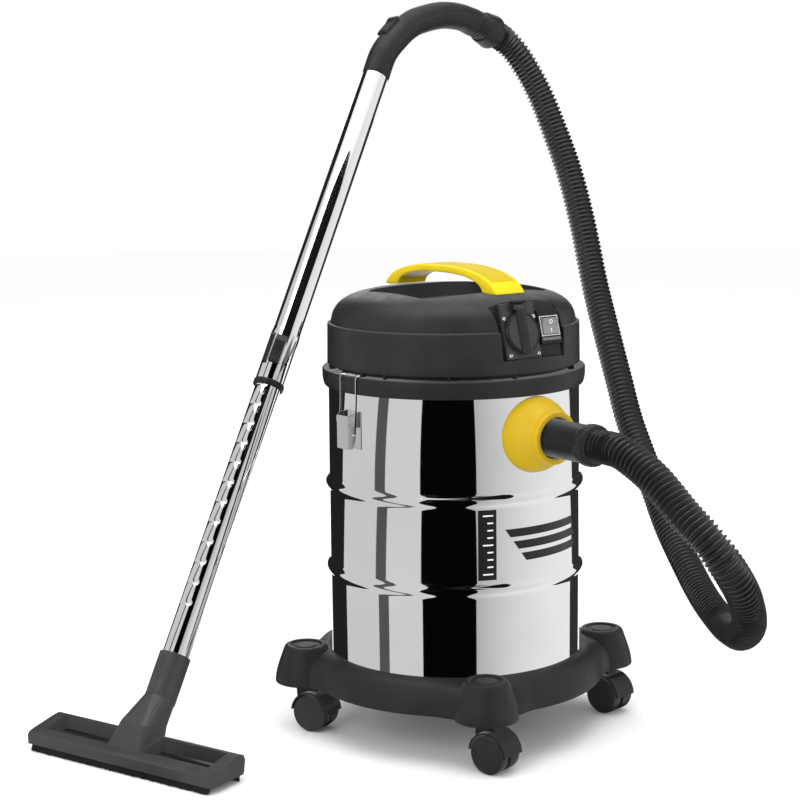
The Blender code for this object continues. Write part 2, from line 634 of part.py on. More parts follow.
def make_motor(machine):
    z = PLATE_TOP_Z + GAP
    body = ((0, 0.5220), (0.0046, 0.5220), (0.0046, 0.5020), (0.0560, 0.5020), (0.0560, z),
            (0.0640, z), (0.0640, 0.5060), (0.0520, 0.5100), (0.0520, 0.5500), (0.0460, 0.5570),
            (0.0200, 0.5600), (0, 0.5600))
    place("motor", turned("motor", body, 24), "grey", machine)
    fan = ((0, 0.4880), (0.0180, 0.4880), (0.0250, 0.4890), (0.0520, 0.4895), (0.0520, 0.4990),
           (0.0080, 0.5000), (0.0040, 0.5010), (0.0040, 0.5200), (0, 0.5200))
    place("impeller", turned("impeller", fan, 24), "steel", machine)
    cage = ((0, 0.3950), (0.0525, 0.3950), (0.0525, PLATE_UNDER_Z - GAP),
            (0.0490, PLATE_UNDER_Z - GAP), (0.0490, 0.3975), (0, 0.3975))
    basket = place("float_cage", turned("float_cage", cage, 28), "black", machine)
    slots = []
    for k in range(3):
        cut = slab("slot", (-0.08, -0.0110, 0.4030), (0.08, 0.0110, 0.4650))
        slots.append(tool(f"slot_{k}", cut, machine, (0, 0, 0), (0, 0, radians(60 * k))))
    carve(basket, slots)
    bake(basket)
    cup = ((0, 0.3980), (0.0440, 0.3980), (0.0465, 0.4010), (0.0465, 0.4290), (0, 0.4300))
    place("float", turned("float", cup, 28), "orange", machine)
    sleeve = ((0.0560, 0.3930), (0.0730, 0.3930), (0.0730, PLATE_UNDER_Z - GAP),
              (0.0560, PLATE_UNDER_Z - GAP))
    place("filter", turned("filter", sleeve, 32), "paper", machine)


def make_gland(machine):
    """Cable inlet at the back of the head, where a mains cord would enter."""
    profile = ((0, 0.1560), (0.0070, 0.1560), (0.0070, 0.1672), (0.0105, 0.1672),
               (0.0100, 0.1740), (0.0060, 0.1880), (0.0038, 0.1880), (0.0038, 0.1600), (0, 0.1600))
    place("cord_gland", turned("cord_gland", profile, 16, TO_Y), "rubber", machine,
          (0, 0, 0.5150), (0, 0, pi))


# ---------------------------------------------------------------- inlet and drum cuff
def make_inlet(machine):
    """Domed boss, its tube into the drum with a downward outlet, and the hose's cuff."""
    at = (0, 0, INLET_Z)
    dome = ((0.0288, 0.1400), (BOSS_R, 0.1400), (BOSS_R, 0.1640), (0.0482, 0.1700),
            (0.0450, 0.1790), (0.0395, 0.1890), (0.0340, 0.1970), (0.0330, 0.2020),
            (0.0320, -BOSS_FACE_Y), (0.0260, -BOSS_FACE_Y), (0.0260, 0.2015), (0.0288, 0.2015))
    boss = place("inlet_boss", turned("inlet_boss", dome, 28, TO_Y), "amber", machine, at)
    drum = rod("drum_body", DRUM_R + GAP, 0.30, 0.50, ROUND)
    carve(boss, [tool("drum_body", drum, machine)])
    bake(boss)
    tube = ((0, 0.1000), (0.0285, 0.1000), (0.0285, 0.2012), (0.0242, 0.2012), (0.0242, 0.1030),
            (0, 0.1030))
    inlet = place("inlet_tube", turned("inlet_tube", tube, 32, TO_Y), "black", machine, at)
    window = slab("window", (-0.0180, -0.1480, -0.04), (0.0180, -0.1060, 0.0))
    carve(inlet, [tool("window", window, machine, at)])
    bake(inlet)
    end = -CUFF_END_Y
    cuff = ((0.0195, 0.1660), (CUFF_R - 0.0008, 0.1660), (CUFF_R, 0.1680), (CUFF_R, end - 0.0170),
            (0.0256, end - 0.0150), (0.0256, end - 0.0015), (0.0246, end), (0.0195, end))
    sleeve = place("hose_cuff_drum", turned("hose_cuff_drum", cuff, 32, TO_Y), "black", machine, at)
    release = rod("release", 0.0021, 0.0222, 0.0300, 12, TO_X)
    carve(sleeve, [tool("release", release, machine, (0, -0.2380, INLET_Z), (0, radians(28), pi))])
    bake(sleeve)


# ---------------------------------------------------------------- latches
def make_latch(machine, name, bearing):
    """Over-centre draw latch: bracket on the drum, lever on a pin, wire bail over the ring's lip.
    In the latch's frame -Y faces outwards."""
    spot = empty(f"latch_{name}", (0, 0, 0), (0, 0, radians(bearing)), machine)
    pin_y, pin_z = LATCH_PIN
    bail_y, bail_z = BAIL_PIN
    bracket = place(f"latch_bracket_{name}",
                    slab("back", (-0.0145, -0.1686, 0.3930), (0.0145, -0.1672, 0.4420)), "steel", spot)
    parts = []
    holes = []
    for side in (-1, 1):
        near, far = sorted((side * 0.0120, side * 0.0132))
        ear = extruded("ear", ((-0.1676, 0.4210), (-0.1820, 0.4240), (-0.1860, 0.4290),
                               (-0.1860, 0.4360), (-0.1820, 0.4400), (-0.1676, 0.4420)),
                       near, far, "YZ")
        parts.append(tool("ear", ear, spot))
    carve(bracket, parts, "UNION")
    holes.append(tool("pin_hole", rod("pin_hole", 0.0019, -0.02, 0.02, 12, TO_X), spot,
                      (0, pin_y, pin_z)))
    carve(bracket, holes)
    bake(bracket)
    place(f"latch_pin_{name}", rod(f"latch_pin_{name}", 0.0016, -0.0137, 0.0137, 12, TO_X),
          "chrome", spot, (0, pin_y, pin_z))

    lever = place(f"latch_lever_{name}",
                  extruded("lever", ((-0.1868, 0.3950), (-0.1868, 0.4375), (-0.1745, 0.4375),
                                     (-0.1745, 0.4060), (-0.1790, 0.3950)), -0.0112, 0.0112, "YZ",
                           0.0, Matrix.Translation((0, -pin_y, -pin_z))), "steel", spot,
                  (0, pin_y, pin_z))
    hollow = slab("hollow", (-0.0100, -0.1856, 0.3800), (0.0100, -0.1600, 0.4500))
    carve(lever, [tool("hollow", hollow, spot),
                  tool("pin_hole", rod("pin_hole", 0.0019, -0.02, 0.02, 12, TO_X), spot,
                       (0, pin_y, pin_z)),
                  tool("bail_hole", rod("bail_hole", BAIL_WIRE_R + GAP, -0.02, 0.02, 12, TO_X),
                       spot, (0, bail_y, bail_z))])
    bake(lever)

    half = 0.0156
    right = [(0.0090, bail_y, bail_z), (half - 0.0012, bail_y, bail_z),
             (half, bail_y, bail_z + 0.0012), (half, -0.1764, 0.4560), (half, -0.1760, 0.4846),
             (half, -0.1747, 0.4871), (half, -0.1712, 0.4873), (half - 0.0014, -0.1700, 0.4873)]
    loop = right + [(-x, y, z) for x, y, z in reversed(right)]
    points = [Vector(p) - Vector((0, bail_y, bail_z)) for p in loop]
    wire = lofted(f"latch_bail_{name}", wire_sections(points, BAIL_WIRE_R, 8))
    place(f"latch_bail_{name}", wire, "chrome", spot, (0, bail_y, bail_z))


def wire_sections(points, radius, sides):
    """Round sections along a bent wire, mitred at its corners, carried round without twist."""
    sections = []
    across = None
    for i, point in enumerate(points):
        incoming = (point - points[i - 1]).normalized() if i else None
        outgoing = (points[i + 1] - point).normalized() if i + 1 < len(points) else None
        tangent = ((incoming or outgoing) + (outgoing or incoming)).normalized()
        if across is None:
            across = tangent.orthogonal().normalized()
        across = (across - tangent * across.dot(tangent)).normalized()
        other = tangent.cross(across)
        sections.append([point + (across * cos(2 * pi * k / sides)
                                  + other * sin(2 * pi * k / sides)) * radius
                         for k in range(sides)])
    return sections


# ---------------------------------------------------------------- wand and handle
def wand_frame():
    """Directions of the wand: along the tube, and across it towards the handle's bend."""
    along = (WAND_HEAD - WAND_FOOT).normalized()
    level = Vector((cos(radians(BEND_BEARING)), sin(radians(BEND_BEARING)), 0))
    across = (level - along * level.dot(along)).normalized()
    return along, across


def wand_spot(machine, name, distance):
    """An empty on the tube axis, its Z along the tube and its X across towards the bend."""
    along, across = wand_frame()
    turn = Matrix((across, along.cross(across), along)).transposed()
    return empty(name, WAND_HEAD + along * distance, turn.to_euler(), machine)


def make_wand(machine):
    top = wand_spot(machine, "wand_head", 0.0)
    upper = ((UPPER_BORE_R, -GAP), (UPPER_TUBE_R, -GAP), (UPPER_TUBE_R, -SLEEVE_START),
             (SLEEVE_R, -SLEEVE_START - 0.010), (SLEEVE_R, -UPPER_LENGTH), (UPPER_BORE_R, -UPPER_LENGTH))
    place("wand_upper", turned("wand_upper", upper, 28), "chrome", top)
    collar = ((LOWER_TUBE_R + GAP, -UPPER_LENGTH - GAP), (0.0212, -UPPER_LENGTH - GAP),
              (0.0216, -UPPER_LENGTH - 0.002), (0.0216, -UPPER_LENGTH - 0.007),
              (0.0205, -UPPER_LENGTH - 0.0085), (LOWER_TUBE_R + GAP, -UPPER_LENGTH - 0.0085))
    place("wand_collar", turned("wand_collar", collar, 28), "black", top)
    reach = (WAND_HEAD - WAND_FOOT).length
    lower = ((LOWER_BORE_R, -LOWER_TOP), (LOWER_TUBE_R, -LOWER_TOP),
             (LOWER_TUBE_R, -reach - 0.0380), (LOWER_BORE_R, -reach - 0.0380))
    place("wand_lower", turned("wand_lower", lower, 28), "chrome", top)

    lock = empty("lock_spot", (0, 0, -0.4460), (0, 0, radians(-140)), top)
    outline = ((0.0150, -0.0200), (0.0285, -0.0200), (0.0275, -0.0120), (0.0262, 0.0120),
               (0.0225, 0.0210), (0.0150, 0.0210))
    button = place("lock_button", extruded("lock_button", outline, -0.0075, 0.0075, "XZ", 0.0008),
                   "black", lock)
    carve(button, [tool("tube_body", rod("tube_body", SLEEVE_R + GAP, -0.05, 0.05, 40), lock)])
    bake(button)
    guide = place("lock_guide", extruded("lock_guide", ((0.0150, -0.0220), (0.0235, -0.0220),
                                                        (0.0235, 0.0180), (0.0215, 0.0220),
                                                        (0.0150, 0.0220)), -0.0150, -0.0100, "XZ"),
                  "black", lock)
    carve(guide, [tool("tube_body", rod("tube_body", SLEEVE_R + GAP, -0.05, 0.05, 40), lock)])
    bake(guide)


def handle_path():
    """Centre line of the bent handle in the machine's frame, finely sampled."""
    along, across = wand_frame()
    points = [WAND_HEAD + along * a + across * b for a, b in HANDLE_BEND]
    return smooth_path(points, 0.0150)


def make_handle(machine):
    along, across = wand_frame()
    side = along.cross(across)
    path = handle_path()
    split = min(range(len(path)),
                key=lambda i: abs((path[i] - WAND_HEAD).dot(across) - HANDLE_CUFF_START))
    body = path[:split + 1]
    radii = [HANDLE_R] * len(body)
    radii[-2] = HANDLE_R + 0.0012
    outer = pipe_sections(body, radii, 20, side)
    pipe = place("handle_pipe", lofted("handle_pipe", outer), "black", machine)
    spigot = rod("spigot", SPIGOT_R, -0.0400, 0.004, 20)
    top = wand_spot(machine, "handle_foot", 0.0)
    carve(pipe, [tool("spigot", spigot, top)], "UNION")
    end = (body[-1] - body[-2]).normalized()
    inner = [WAND_HEAD - along * 0.060, WAND_HEAD - along * 0.020] + body + [body[-1] + end * 0.01]
    bore = pipe_sections(inner, [HANDLE_BORE_R] * len(inner), 16, side)
    carve(pipe, [tool("handle_bore", lofted("handle_bore", bore), machine)])

    near = min(range(len(path)), key=lambda i: abs((path[i] - path[0]).length - SLIDER_AT))
    tangent = (path[near + 1] - path[near - 1]).normalized()
    outward = tangent.cross(side).normalized()
    if outward.dot(across) > 0:
        outward = -outward
    turn = Matrix((outward, tangent.cross(outward), tangent)).transposed()
    spot = empty("slider_spot", path[near], turn.to_euler(), machine)
    carve(pipe, [tool("bleed", rod("bleed", 0.0045, 0.0, 0.03, 16, TO_X), spot, (0, 0, 0))])
    bake(pipe)
    outline = ((0.0120, -0.0190), (0.0222, -0.0190), (0.0235, -0.0140), (0.0240, 0.0060),
               (0.0262, 0.0140), (0.0258, 0.0185), (0.0120, 0.0185))
    slider = place("air_slider", extruded("air_slider", outline, -0.0090, 0.0090, "XZ", 0.0010),
                   "black", spot)
    hollow = pipe_sections([(path[i] - path[near]) for i in range(near - 3, near + 4)],
                           [HANDLE_R + 0.0008] * 7, 32, side)
    carve(slider, [tool("pipe_body", lofted("pipe_body", hollow), machine, path[near])])
    bake(slider)

    cuff_path = [body[-1] + end * GAP, body[-1] + end * 0.004] + path[split + 1:]
    count = len(cuff_path)
    outer = [0.0205 + 0.0060 * min(1.0, k / (count - 1) * 1.1) for k in range(count)]
    cuff = place("hose_cuff_handle", lofted("hose_cuff_handle",
                                            pipe_sections(cuff_path, outer, 22, side)),
                 "black", machine)
    end = (cuff_path[-1] - cuff_path[-2]).normalized()
    inner = [cuff_path[0] - (cuff_path[1] - cuff_path[0]).normalized() * 0.01] + cuff_path
    inner.append(cuff_path[-1] + end * 0.01)
    bore = pipe_sections(inner, [0.0175] * len(inner), 16, side)
    carve(cuff, [tool("cuff_bore", lofted("cuff_bore", bore), machine)])
    bake(cuff)
    return cuff_path[-1], end


# ---------------------------------------------------------------- hose
def make_hose(machine, far, direction):
    start = Vector((0, CUFF_END_Y - GAP, INLET_Z))
    finish = far + direction * GAP
    approach = far + direction * 0.028
    route = [start, *HOSE_ROUTE, approach, finish]
    points = smooth_path(route, HOSE_STEP)
    points.insert(1, start + Vector((0, -0.006, 0)))
    points.insert(-1, finish + direction * 0.006)
    curve = bpy.data.curves.new("hose", "CURVE")
    curve.dimensions = "3D"
    curve.bevel_depth = HOSE_R
    curve.bevel_resolution = 3
    curve.use_fill_caps = True
    spline = curve.splines.new("POLY")
    spline.points.add(len(points) - 1)
    for target, point in zip(spline.points, points):
        target.co = (*point, 1.0)
    place("hose", curve, "black", machine)


# ---------------------------------------------------------------- nozzle
def make_nozzle(machine):
    spot = empty("nozzle_spot", (*NOZZLE_CENTRE, 0), (0, 0, radians(NOZZLE_YAW)), machine)
    outline = ((-0.04226, 0.0090), (-0.04226, 0.0215), (-0.0390, 0.0250), (-0.0300, 0.0275),
               (0.0060, 0.0345), (0.0150, 0.0355), (0.0205, 0.0335), (0.0235, 0.0270),
               (0.0220, 0.0190), (0.0210, 0.0120), (0.0190, 0.0090))
    body = place("nozzle_body", extruded("nozzle_body", outline, -NOZZLE_HALF, NOZZLE_HALF, "YZ"),
                 "black", spot)
    along, _ = wand_frame()
    lean = Vector((0, (along.x ** 2 + along.y ** 2) ** 0.5, along.z))
    offset = WAND_FOOT - Vector((*NOZZLE_CENTRE, 0))
    yaw = radians(NOZZLE_YAW)
    foot = Vector((0, -offset.x * sin(yaw) + offset.y * cos(yaw), offset.z))
    elbow = foot - lean * CUFF_LENGTH
    side = Vector((1, 0, 0))
    neck_dir = Vector((0, 0.70, 0.714)).normalized()
    base = [Vector((px, py - 0.0090, 0.0200)) for px, py in rounded_rectangle(0.0275, 0.0270, 0.004, 5)]
    middle = [Vector((px, 0.0110 + py, 0.0490 + py * -0.30))
              for px, py in rounded_rectangle(0.0240, 0.0225, 0.010, 5)]
    ring_up = neck_dir.cross(side)
    rim = []
    for k in range(24):
        angle = radians(15 * k + 7.5)
        rim.append(elbow - neck_dir * 0.004 + side * (0.0205 * cos(angle))
                   + ring_up * (0.0205 * sin(angle)))
    neck = lofted("neck_loft", [base, middle, rim])
    cuff_ring = pipe_sections([elbow - lean * 0.006, foot - lean * 0.0008, foot],
                              [0.0208, 0.0208, 0.0200], 28, side)
    carve(body, [tool("neck_loft", neck, spot),
                 tool("neck_cuff", lofted("neck_cuff", cuff_ring), spot)], "UNION")
    cuts = []
    for sign in (-1, 1):
        near, far = sorted((sign * 0.0310, sign * 0.1370))
        cuts.append(tool("window", slab("window", (near, -0.0270, 0.0150), (far, 0.0110, 0.05)), spot))
    socket = pipe_sections([foot - lean * 0.0400, foot + lean * 0.02], [LOWER_TUBE_R + GAP] * 2, 28, side)
    duct = [Vector((0, 0, 0)), Vector((0, 0, 0.0220)), elbow - neck_dir * 0.002,
            elbow + lean * 0.022]
    throat = pipe_sections(duct, [0.0156, 0.0156, 0.0148, 0.0148], 20, side)
    cuts.append(tool("socket", lofted("socket", socket), spot))
    cuts.append(tool("throat", lofted("throat", throat), spot))
    carve(body, cuts)
    bake(body)
    brush = slab("nozzle_brush", (-STRIP_HALF, -0.0400, 0.0), (STRIP_HALF, -0.0330, STRIP_TOP_Z))
    place("nozzle_brush", brush, "dark", spot)
    blade = slab("nozzle_squeegee", (-STRIP_HALF, 0.0150, 0.0), (STRIP_HALF, 0.0180, STRIP_TOP_Z))
    place("nozzle_squeegee", blade, "rubber", spot)


def main():
    clear_scene()
    machine = empty("machine", (*DRUM_AXIS, 0))
    panel = empty("panel", PANEL_FOOT, (radians(-PANEL_TILT), 0, 0), machine)
    make_dolly(machine)
    make_casters(machine)
    make_drum(machine)
    make_head_base(machine)
    make_head_cover(machine, panel)
    make_carry_handle(machine)
    make_panel(panel)
    make_motor(machine)
    make_gland(machine)
    make_inlet(machine)
    for name, bearing in zip(("left", "right"), LATCH_BEARINGS):
        make_latch(machine, name, bearing)
    make_wand(machine)
    far, direction = make_handle(machine)
    make_hose(machine, far, direction)
    make_nozzle(machine)


main()
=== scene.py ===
"""Looks of the wet-and-dry shop vacuum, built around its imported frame.

Metres, +Z up.  Pieces are made in the machine's own frame, whose origin is the foot of the drum axis
and whose front faces -Y; a bearing is an angle round that axis from the front, positive towards +X.
"""

import bpy
import bmesh
import json
import random
from math import sin, cos, pi, radians, degrees, atan2, sqrt, exp
from mathutils import Matrix, Vector
from mathutils.geometry import interpolate_bezier

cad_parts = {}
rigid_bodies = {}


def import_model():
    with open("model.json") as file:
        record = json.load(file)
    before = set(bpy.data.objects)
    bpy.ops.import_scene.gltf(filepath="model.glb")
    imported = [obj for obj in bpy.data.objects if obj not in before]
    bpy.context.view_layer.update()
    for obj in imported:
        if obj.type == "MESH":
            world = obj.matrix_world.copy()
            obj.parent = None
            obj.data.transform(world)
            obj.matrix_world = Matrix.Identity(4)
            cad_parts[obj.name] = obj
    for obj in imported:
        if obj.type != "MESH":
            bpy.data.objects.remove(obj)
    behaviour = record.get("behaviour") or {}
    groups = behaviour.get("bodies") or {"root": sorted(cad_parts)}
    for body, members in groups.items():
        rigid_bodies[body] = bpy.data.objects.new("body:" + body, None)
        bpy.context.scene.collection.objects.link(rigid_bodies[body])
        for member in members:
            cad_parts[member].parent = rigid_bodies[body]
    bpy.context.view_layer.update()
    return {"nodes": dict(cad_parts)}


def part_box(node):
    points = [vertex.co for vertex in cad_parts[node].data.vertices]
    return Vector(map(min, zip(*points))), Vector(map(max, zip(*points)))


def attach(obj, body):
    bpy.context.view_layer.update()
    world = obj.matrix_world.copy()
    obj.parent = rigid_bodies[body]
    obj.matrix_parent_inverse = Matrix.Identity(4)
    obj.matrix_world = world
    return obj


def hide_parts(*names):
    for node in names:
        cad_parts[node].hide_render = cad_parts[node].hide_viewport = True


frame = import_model()

# ---------------------------------------------------------------- sizes shared with the frame
AXIS = Vector((0.1028, -0.0697, 0.0))
MACHINE = Matrix.Translation(AXIS)
GAP = 0.0003
CUP_RING_R = 0.2035
CUP_BEARINGS = (-27.4, 62.6, 152.6, 242.6)
CASTER_YAWS = (103.6, 99.6, 108.6, 115.6)
CORNERS = ("front", "right", "back", "left")
WHEEL_R = 0.0250
WHEEL_WIDTH = 0.0145
WHEEL_OFFSET = 0.0120
CASTER_TRAIL = 0.0140
DRUM_R = 0.1665
DRUM_WALL = 0.0012
DRUM_BASE_Z = 0.0888
DRUM_TOP_Z = 0.4780
BEADS_Z = (0.2190, 0.3330)
BEAD_HEIGHT = 0.0050
BEAD_HALF = 0.0110
PANEL = MACHINE @ Matrix.Translation((0.0, -0.1565, 0.5075)) @ Matrix.Rotation(radians(-15.0), 4, "X")
POCKET = (0.1000, 0.0740, 0.5680)
POCKET_Y = -0.0100
SOCKET_X = -0.0110
SOCKET_SCREWS = ((-0.0238, 0.0530), (-0.0225, 0.0060), (0.0225, 0.0060), (0.0238, 0.0530))
SWITCH_X = 0.0350
LID_R = 0.0255
ROCKER_TILT = 8.0
INLET_Z = 0.4135
CUFF_END = 0.2800
WAND_FOOT = Vector((-0.3561, 0.1349, 0.1226))
WAND_HEAD = Vector((0.0877, 0.2909, 0.8663))
UPPER_LENGTH = 0.4885
LOWER_TOP = 0.4080
HANDLE_R = 0.0200
BEND_BEARING = 10.0
HANDLE_BEND = ((0.000, 0.000), (0.042, 0.001), (0.082, 0.015), (0.110, 0.030), (0.130, 0.047),
               (0.159, 0.079), (0.180, 0.114), (0.189, 0.140), (0.196, 0.167), (0.201, 0.190))
HANDLE_CUFF_START = 0.150
NOZZLE_CENTRE = (-0.4271, 0.1099)
NOZZLE_YAW = -70.6
STRIP_HALF = 0.1500

# the camera, in the machine's frame
LENS = 82.2915
CAMERA_PLACE = Vector((-1.47759, -1.89123, 0.810))
CAMERA_RIGHT = Vector((0.80474, -0.59350, -0.01225))
CAMERA_UP = Vector((0.10065, 0.11609, 0.98813))
CAMERA_FORWARD = Vector((0.58503, 0.79642, -0.15316))

# the hose's centre line, in the machine's frame
HOSE_ROUTE = (
    (0.000, -0.305, 0.414), (-0.003, -0.333, 0.411), (-0.002, -0.381, 0.389),
    (0.001, -0.427, 0.354), (0.010, -0.458, 0.326), (0.028, -0.473, 0.294),
    (0.057, -0.468, 0.259), (0.098, -0.440, 0.219), (0.144, -0.396, 0.186),
    (0.194, -0.338, 0.157), (0.240, -0.281, 0.140), (0.280, -0.224, 0.133),
    (0.313, -0.157, 0.149), (0.339, -0.094, 0.184), (0.360, -0.039, 0.223),
    (0.376, 0.004, 0.265), (0.393, 0.074, 0.351), (0.406, 0.114, 0.412),
    (0.419, 0.155, 0.478), (0.432, 0.197, 0.550), (0.440, 0.234, 0.640),
    (0.441, 0.266, 0.719), (0.435, 0.297, 0.789), (0.422, 0.320, 0.849),
    (0.399, 0.337, 0.899))
HOSE_PITCH = 0.0069
RIB = ((0.00, 0.0177), (0.32, 0.0177), (0.46, 0.0203), (0.58, 0.0210), (0.72, 0.0206), (0.88, 0.0180))

TO_Y = Matrix.Rotation(radians(90), 4, "X")      # turns +Z into -Y
TO_X = Matrix.Rotation(radians(90), 4, "Y")      # turns +Z into +X


def turn_z(angle):
    return Matrix.Rotation(radians(angle), 4, "Z")


def shift(x=0.0, y=0.0, z=0.0):
    return Matrix.Translation((x, y, z))


# ---------------------------------------------------------------- shape makers
def mesh_from(bm, name, move=None):
    if move is not None:
        bmesh.ops.transform(bm, matrix=move, verts=bm.verts)
    bmesh.ops.recalc_face_normals(bm, faces=bm.faces)
    data = bpy.data.meshes.new(name)
    bm.to_mesh(data)
    bm.free()
    return data


def bridge(bm, ring, after):
    """Faces between two closed rings with the same number of vertices."""
    for k in range(len(ring)):
        n = (k + 1) % len(ring)
        bm.faces.new((ring[k], ring[n], after[n], after[k]))


def turned(name, profile, segments=64, move=None):
    """A solid of revolution about Z from a closed loop of (radius, height) points."""
    bm = bmesh.new()
    rings = []
    for radius, height in profile:
        if radius == 0.0:
            rings.append([bm.verts.new((0, 0, height))])
            continue
        ring = []
        for k in range(segments):
            angle = 2 * pi * k / segments
            ring.append(bm.verts.new((radius * cos(angle), radius * sin(angle), height)))
        rings.append(ring)
    for i, ring in enumerate(rings):
        after = rings[(i + 1) % len(rings)]
        if len(ring) == len(after):
            if len(ring) > 1:
                bridge(bm, ring, after)
            continue
        tip, rim = (ring[0], after) if len(ring) == 1 else (after[0], ring)
        for k in range(segments):
            bm.faces.new((tip, rim[k], rim[(k + 1) % segments]))
    return mesh_from(bm, name, move)


def rod(name, radius, start, end, segments=32, move=None, edge=0.0):
    if edge:
        profile = ((0, start), (radius - edge, start), (radius, start + edge), (radius, end - edge),
                   (radius - edge, end), (0, end))
    else:
        profile = ((0, start), (radius, start), (radius, end), (0, end))
    return turned(name, profile, segments, move)


def slab(name, low, high, bevel=0.0, move=None, segments=2):
    bm = bmesh.new()
    bmesh.ops.create_cube(bm, size=1.0)
    for vert in bm.verts:
        for axis in range(3):
            vert.co[axis] = low[axis] if vert.co[axis] < 0 else high[axis]
    if bevel:
        bmesh.ops.bevel(bm, geom=bm.edges[:], offset=bevel, segments=segments, profile=0.5,
                        affect="EDGES")
    return mesh_from(bm, name, move)


def extruded(name, outline, start, end, plane="XY", bevel=0.0, move=None, segments=2):
    order = {"XY": (0, 1, 2), "YZ": (1, 2, 0), "XZ": (0, 2, 1)}[plane]
    bm = bmesh.new()
    loops = []
    for level in (start, end):
        loop = []
        for first, second in outline:
            co = [0.0, 0.0, 0.0]
            co[order[0]] = first
            co[order[1]] = second
            co[order[2]] = level
            loop.append(bm.verts.new(co))
        loops.append(loop)
    bm.faces.new(loops[0])
    bm.faces.new(loops[1])
    bridge(bm, *loops)
    if bevel:
        bmesh.ops.recalc_face_normals(bm, faces=bm.faces)
        rims = [e for e in bm.edges if e.verts[0].co[order[2]] == e.verts[1].co[order[2]]]
        bmesh.ops.bevel(bm, geom=rims, offset=bevel, segments=segments, profile=0.5, affect="EDGES")
    return mesh_from(bm, name, move)


def skin(bm, sections, caps=True):
    """Faces over sections with the same number of points."""
    rings = [[bm.verts.new(p) for p in section] for section in sections]
    for ring, after in zip(rings, rings[1:]):
        bridge(bm, ring, after)
    if caps:
        bm.faces.new(rings[0])
        bm.faces.new(rings[-1])


def lofted(name, sections, move=None, caps=True):
    bm = bmesh.new()
    skin(bm, sections, caps)
    return mesh_from(bm, name, move)


def rounded_rectangle(half_x, half_y, radius, steps=6):
    points = []
    for cx, cy, start in ((1, 1, 0), (-1, 1, 90), (-1, -1, 180), (1, -1, 270)):
        for k in range(steps + 1):
            angle = radians(start + 90 * k / steps)
            points.append((cx * (half_x - radius) + radius * cos(angle),
                           cy * (half_y - radius) + radius * sin(angle)))
    return points


def smooth_path(points, step):
    """Evenly spaced points of a smooth curve through the given ones, both ends kept."""
    route = [Vector(p) for p in points]
    dense = []
    for i in range(len(route) - 1):
        before = route[i - 1] if i else route[0] * 2 - route[1]
        after = route[i + 2] if i + 2 < len(route) else route[-1] * 2 - route[-2]
        ahead = route[i] + (route[i + 1] - before) / 6
        behind = route[i + 1] - (after - route[i]) / 6
        dense += interpolate_bezier(route[i], ahead, behind, route[i + 1], 17)[:-1]
    dense.append(route[-1])
    total = sum((b - a).length for a, b in zip(dense, dense[1:]))
    count = max(2, round(total / step))
    result = [dense[0]]
    travelled = 0.0
    for a, b in zip(dense, dense[1:]):
        length = (b - a).length
        while len(result) < count and travelled + length >= total * len(result) / count:
            part = (total * len(result) / count - travelled) / length
            result.append(a.lerp(b, part))
        travelled += length
    result.append(dense[-1])
    return result


def path_frames(points, hint):
    """Tangent and two cross directions at each point of a path, carried along without twist."""
    frames = []
    across = Vector(hint)
    for i in range(len(points)):
        ahead = points[min(i + 1, len(points) - 1)]
        behind = points[max(i - 1, 0)]
        tangent = (ahead - behind).normalized()
        across = (across - tangent * across.dot(tangent)).normalized()
        frames.append((tangent, across, tangent.cross(across)))
    return frames


def sweep(points, radii, sides, hint):
    sections = []
    for point, radius, (_, across, other) in zip(points, radii, path_frames(points, hint)):
        sections.append([point + (across * cos(2 * pi * k / sides)
                                  + other * sin(2 * pi * k / sides)) * radius
                         for k in range(sides)])
    return sections


def along_path(points, distances):
    """Points at the given distances along a fine path."""
    result = []
    marks = [0.0]
    for a, b in zip(points, points[1:]):
        marks.append(marks[-1] + (b - a).length)
    i = 0
    for distance in distances:
        while i < len(points) - 2 and marks[i + 1] < distance:
            i += 1
        part = (distance - marks[i]) / (marks[i + 1] - marks[i])
        result.append(points[i].lerp(points[i + 1], min(1.0, max(0.0, part))))
    return result


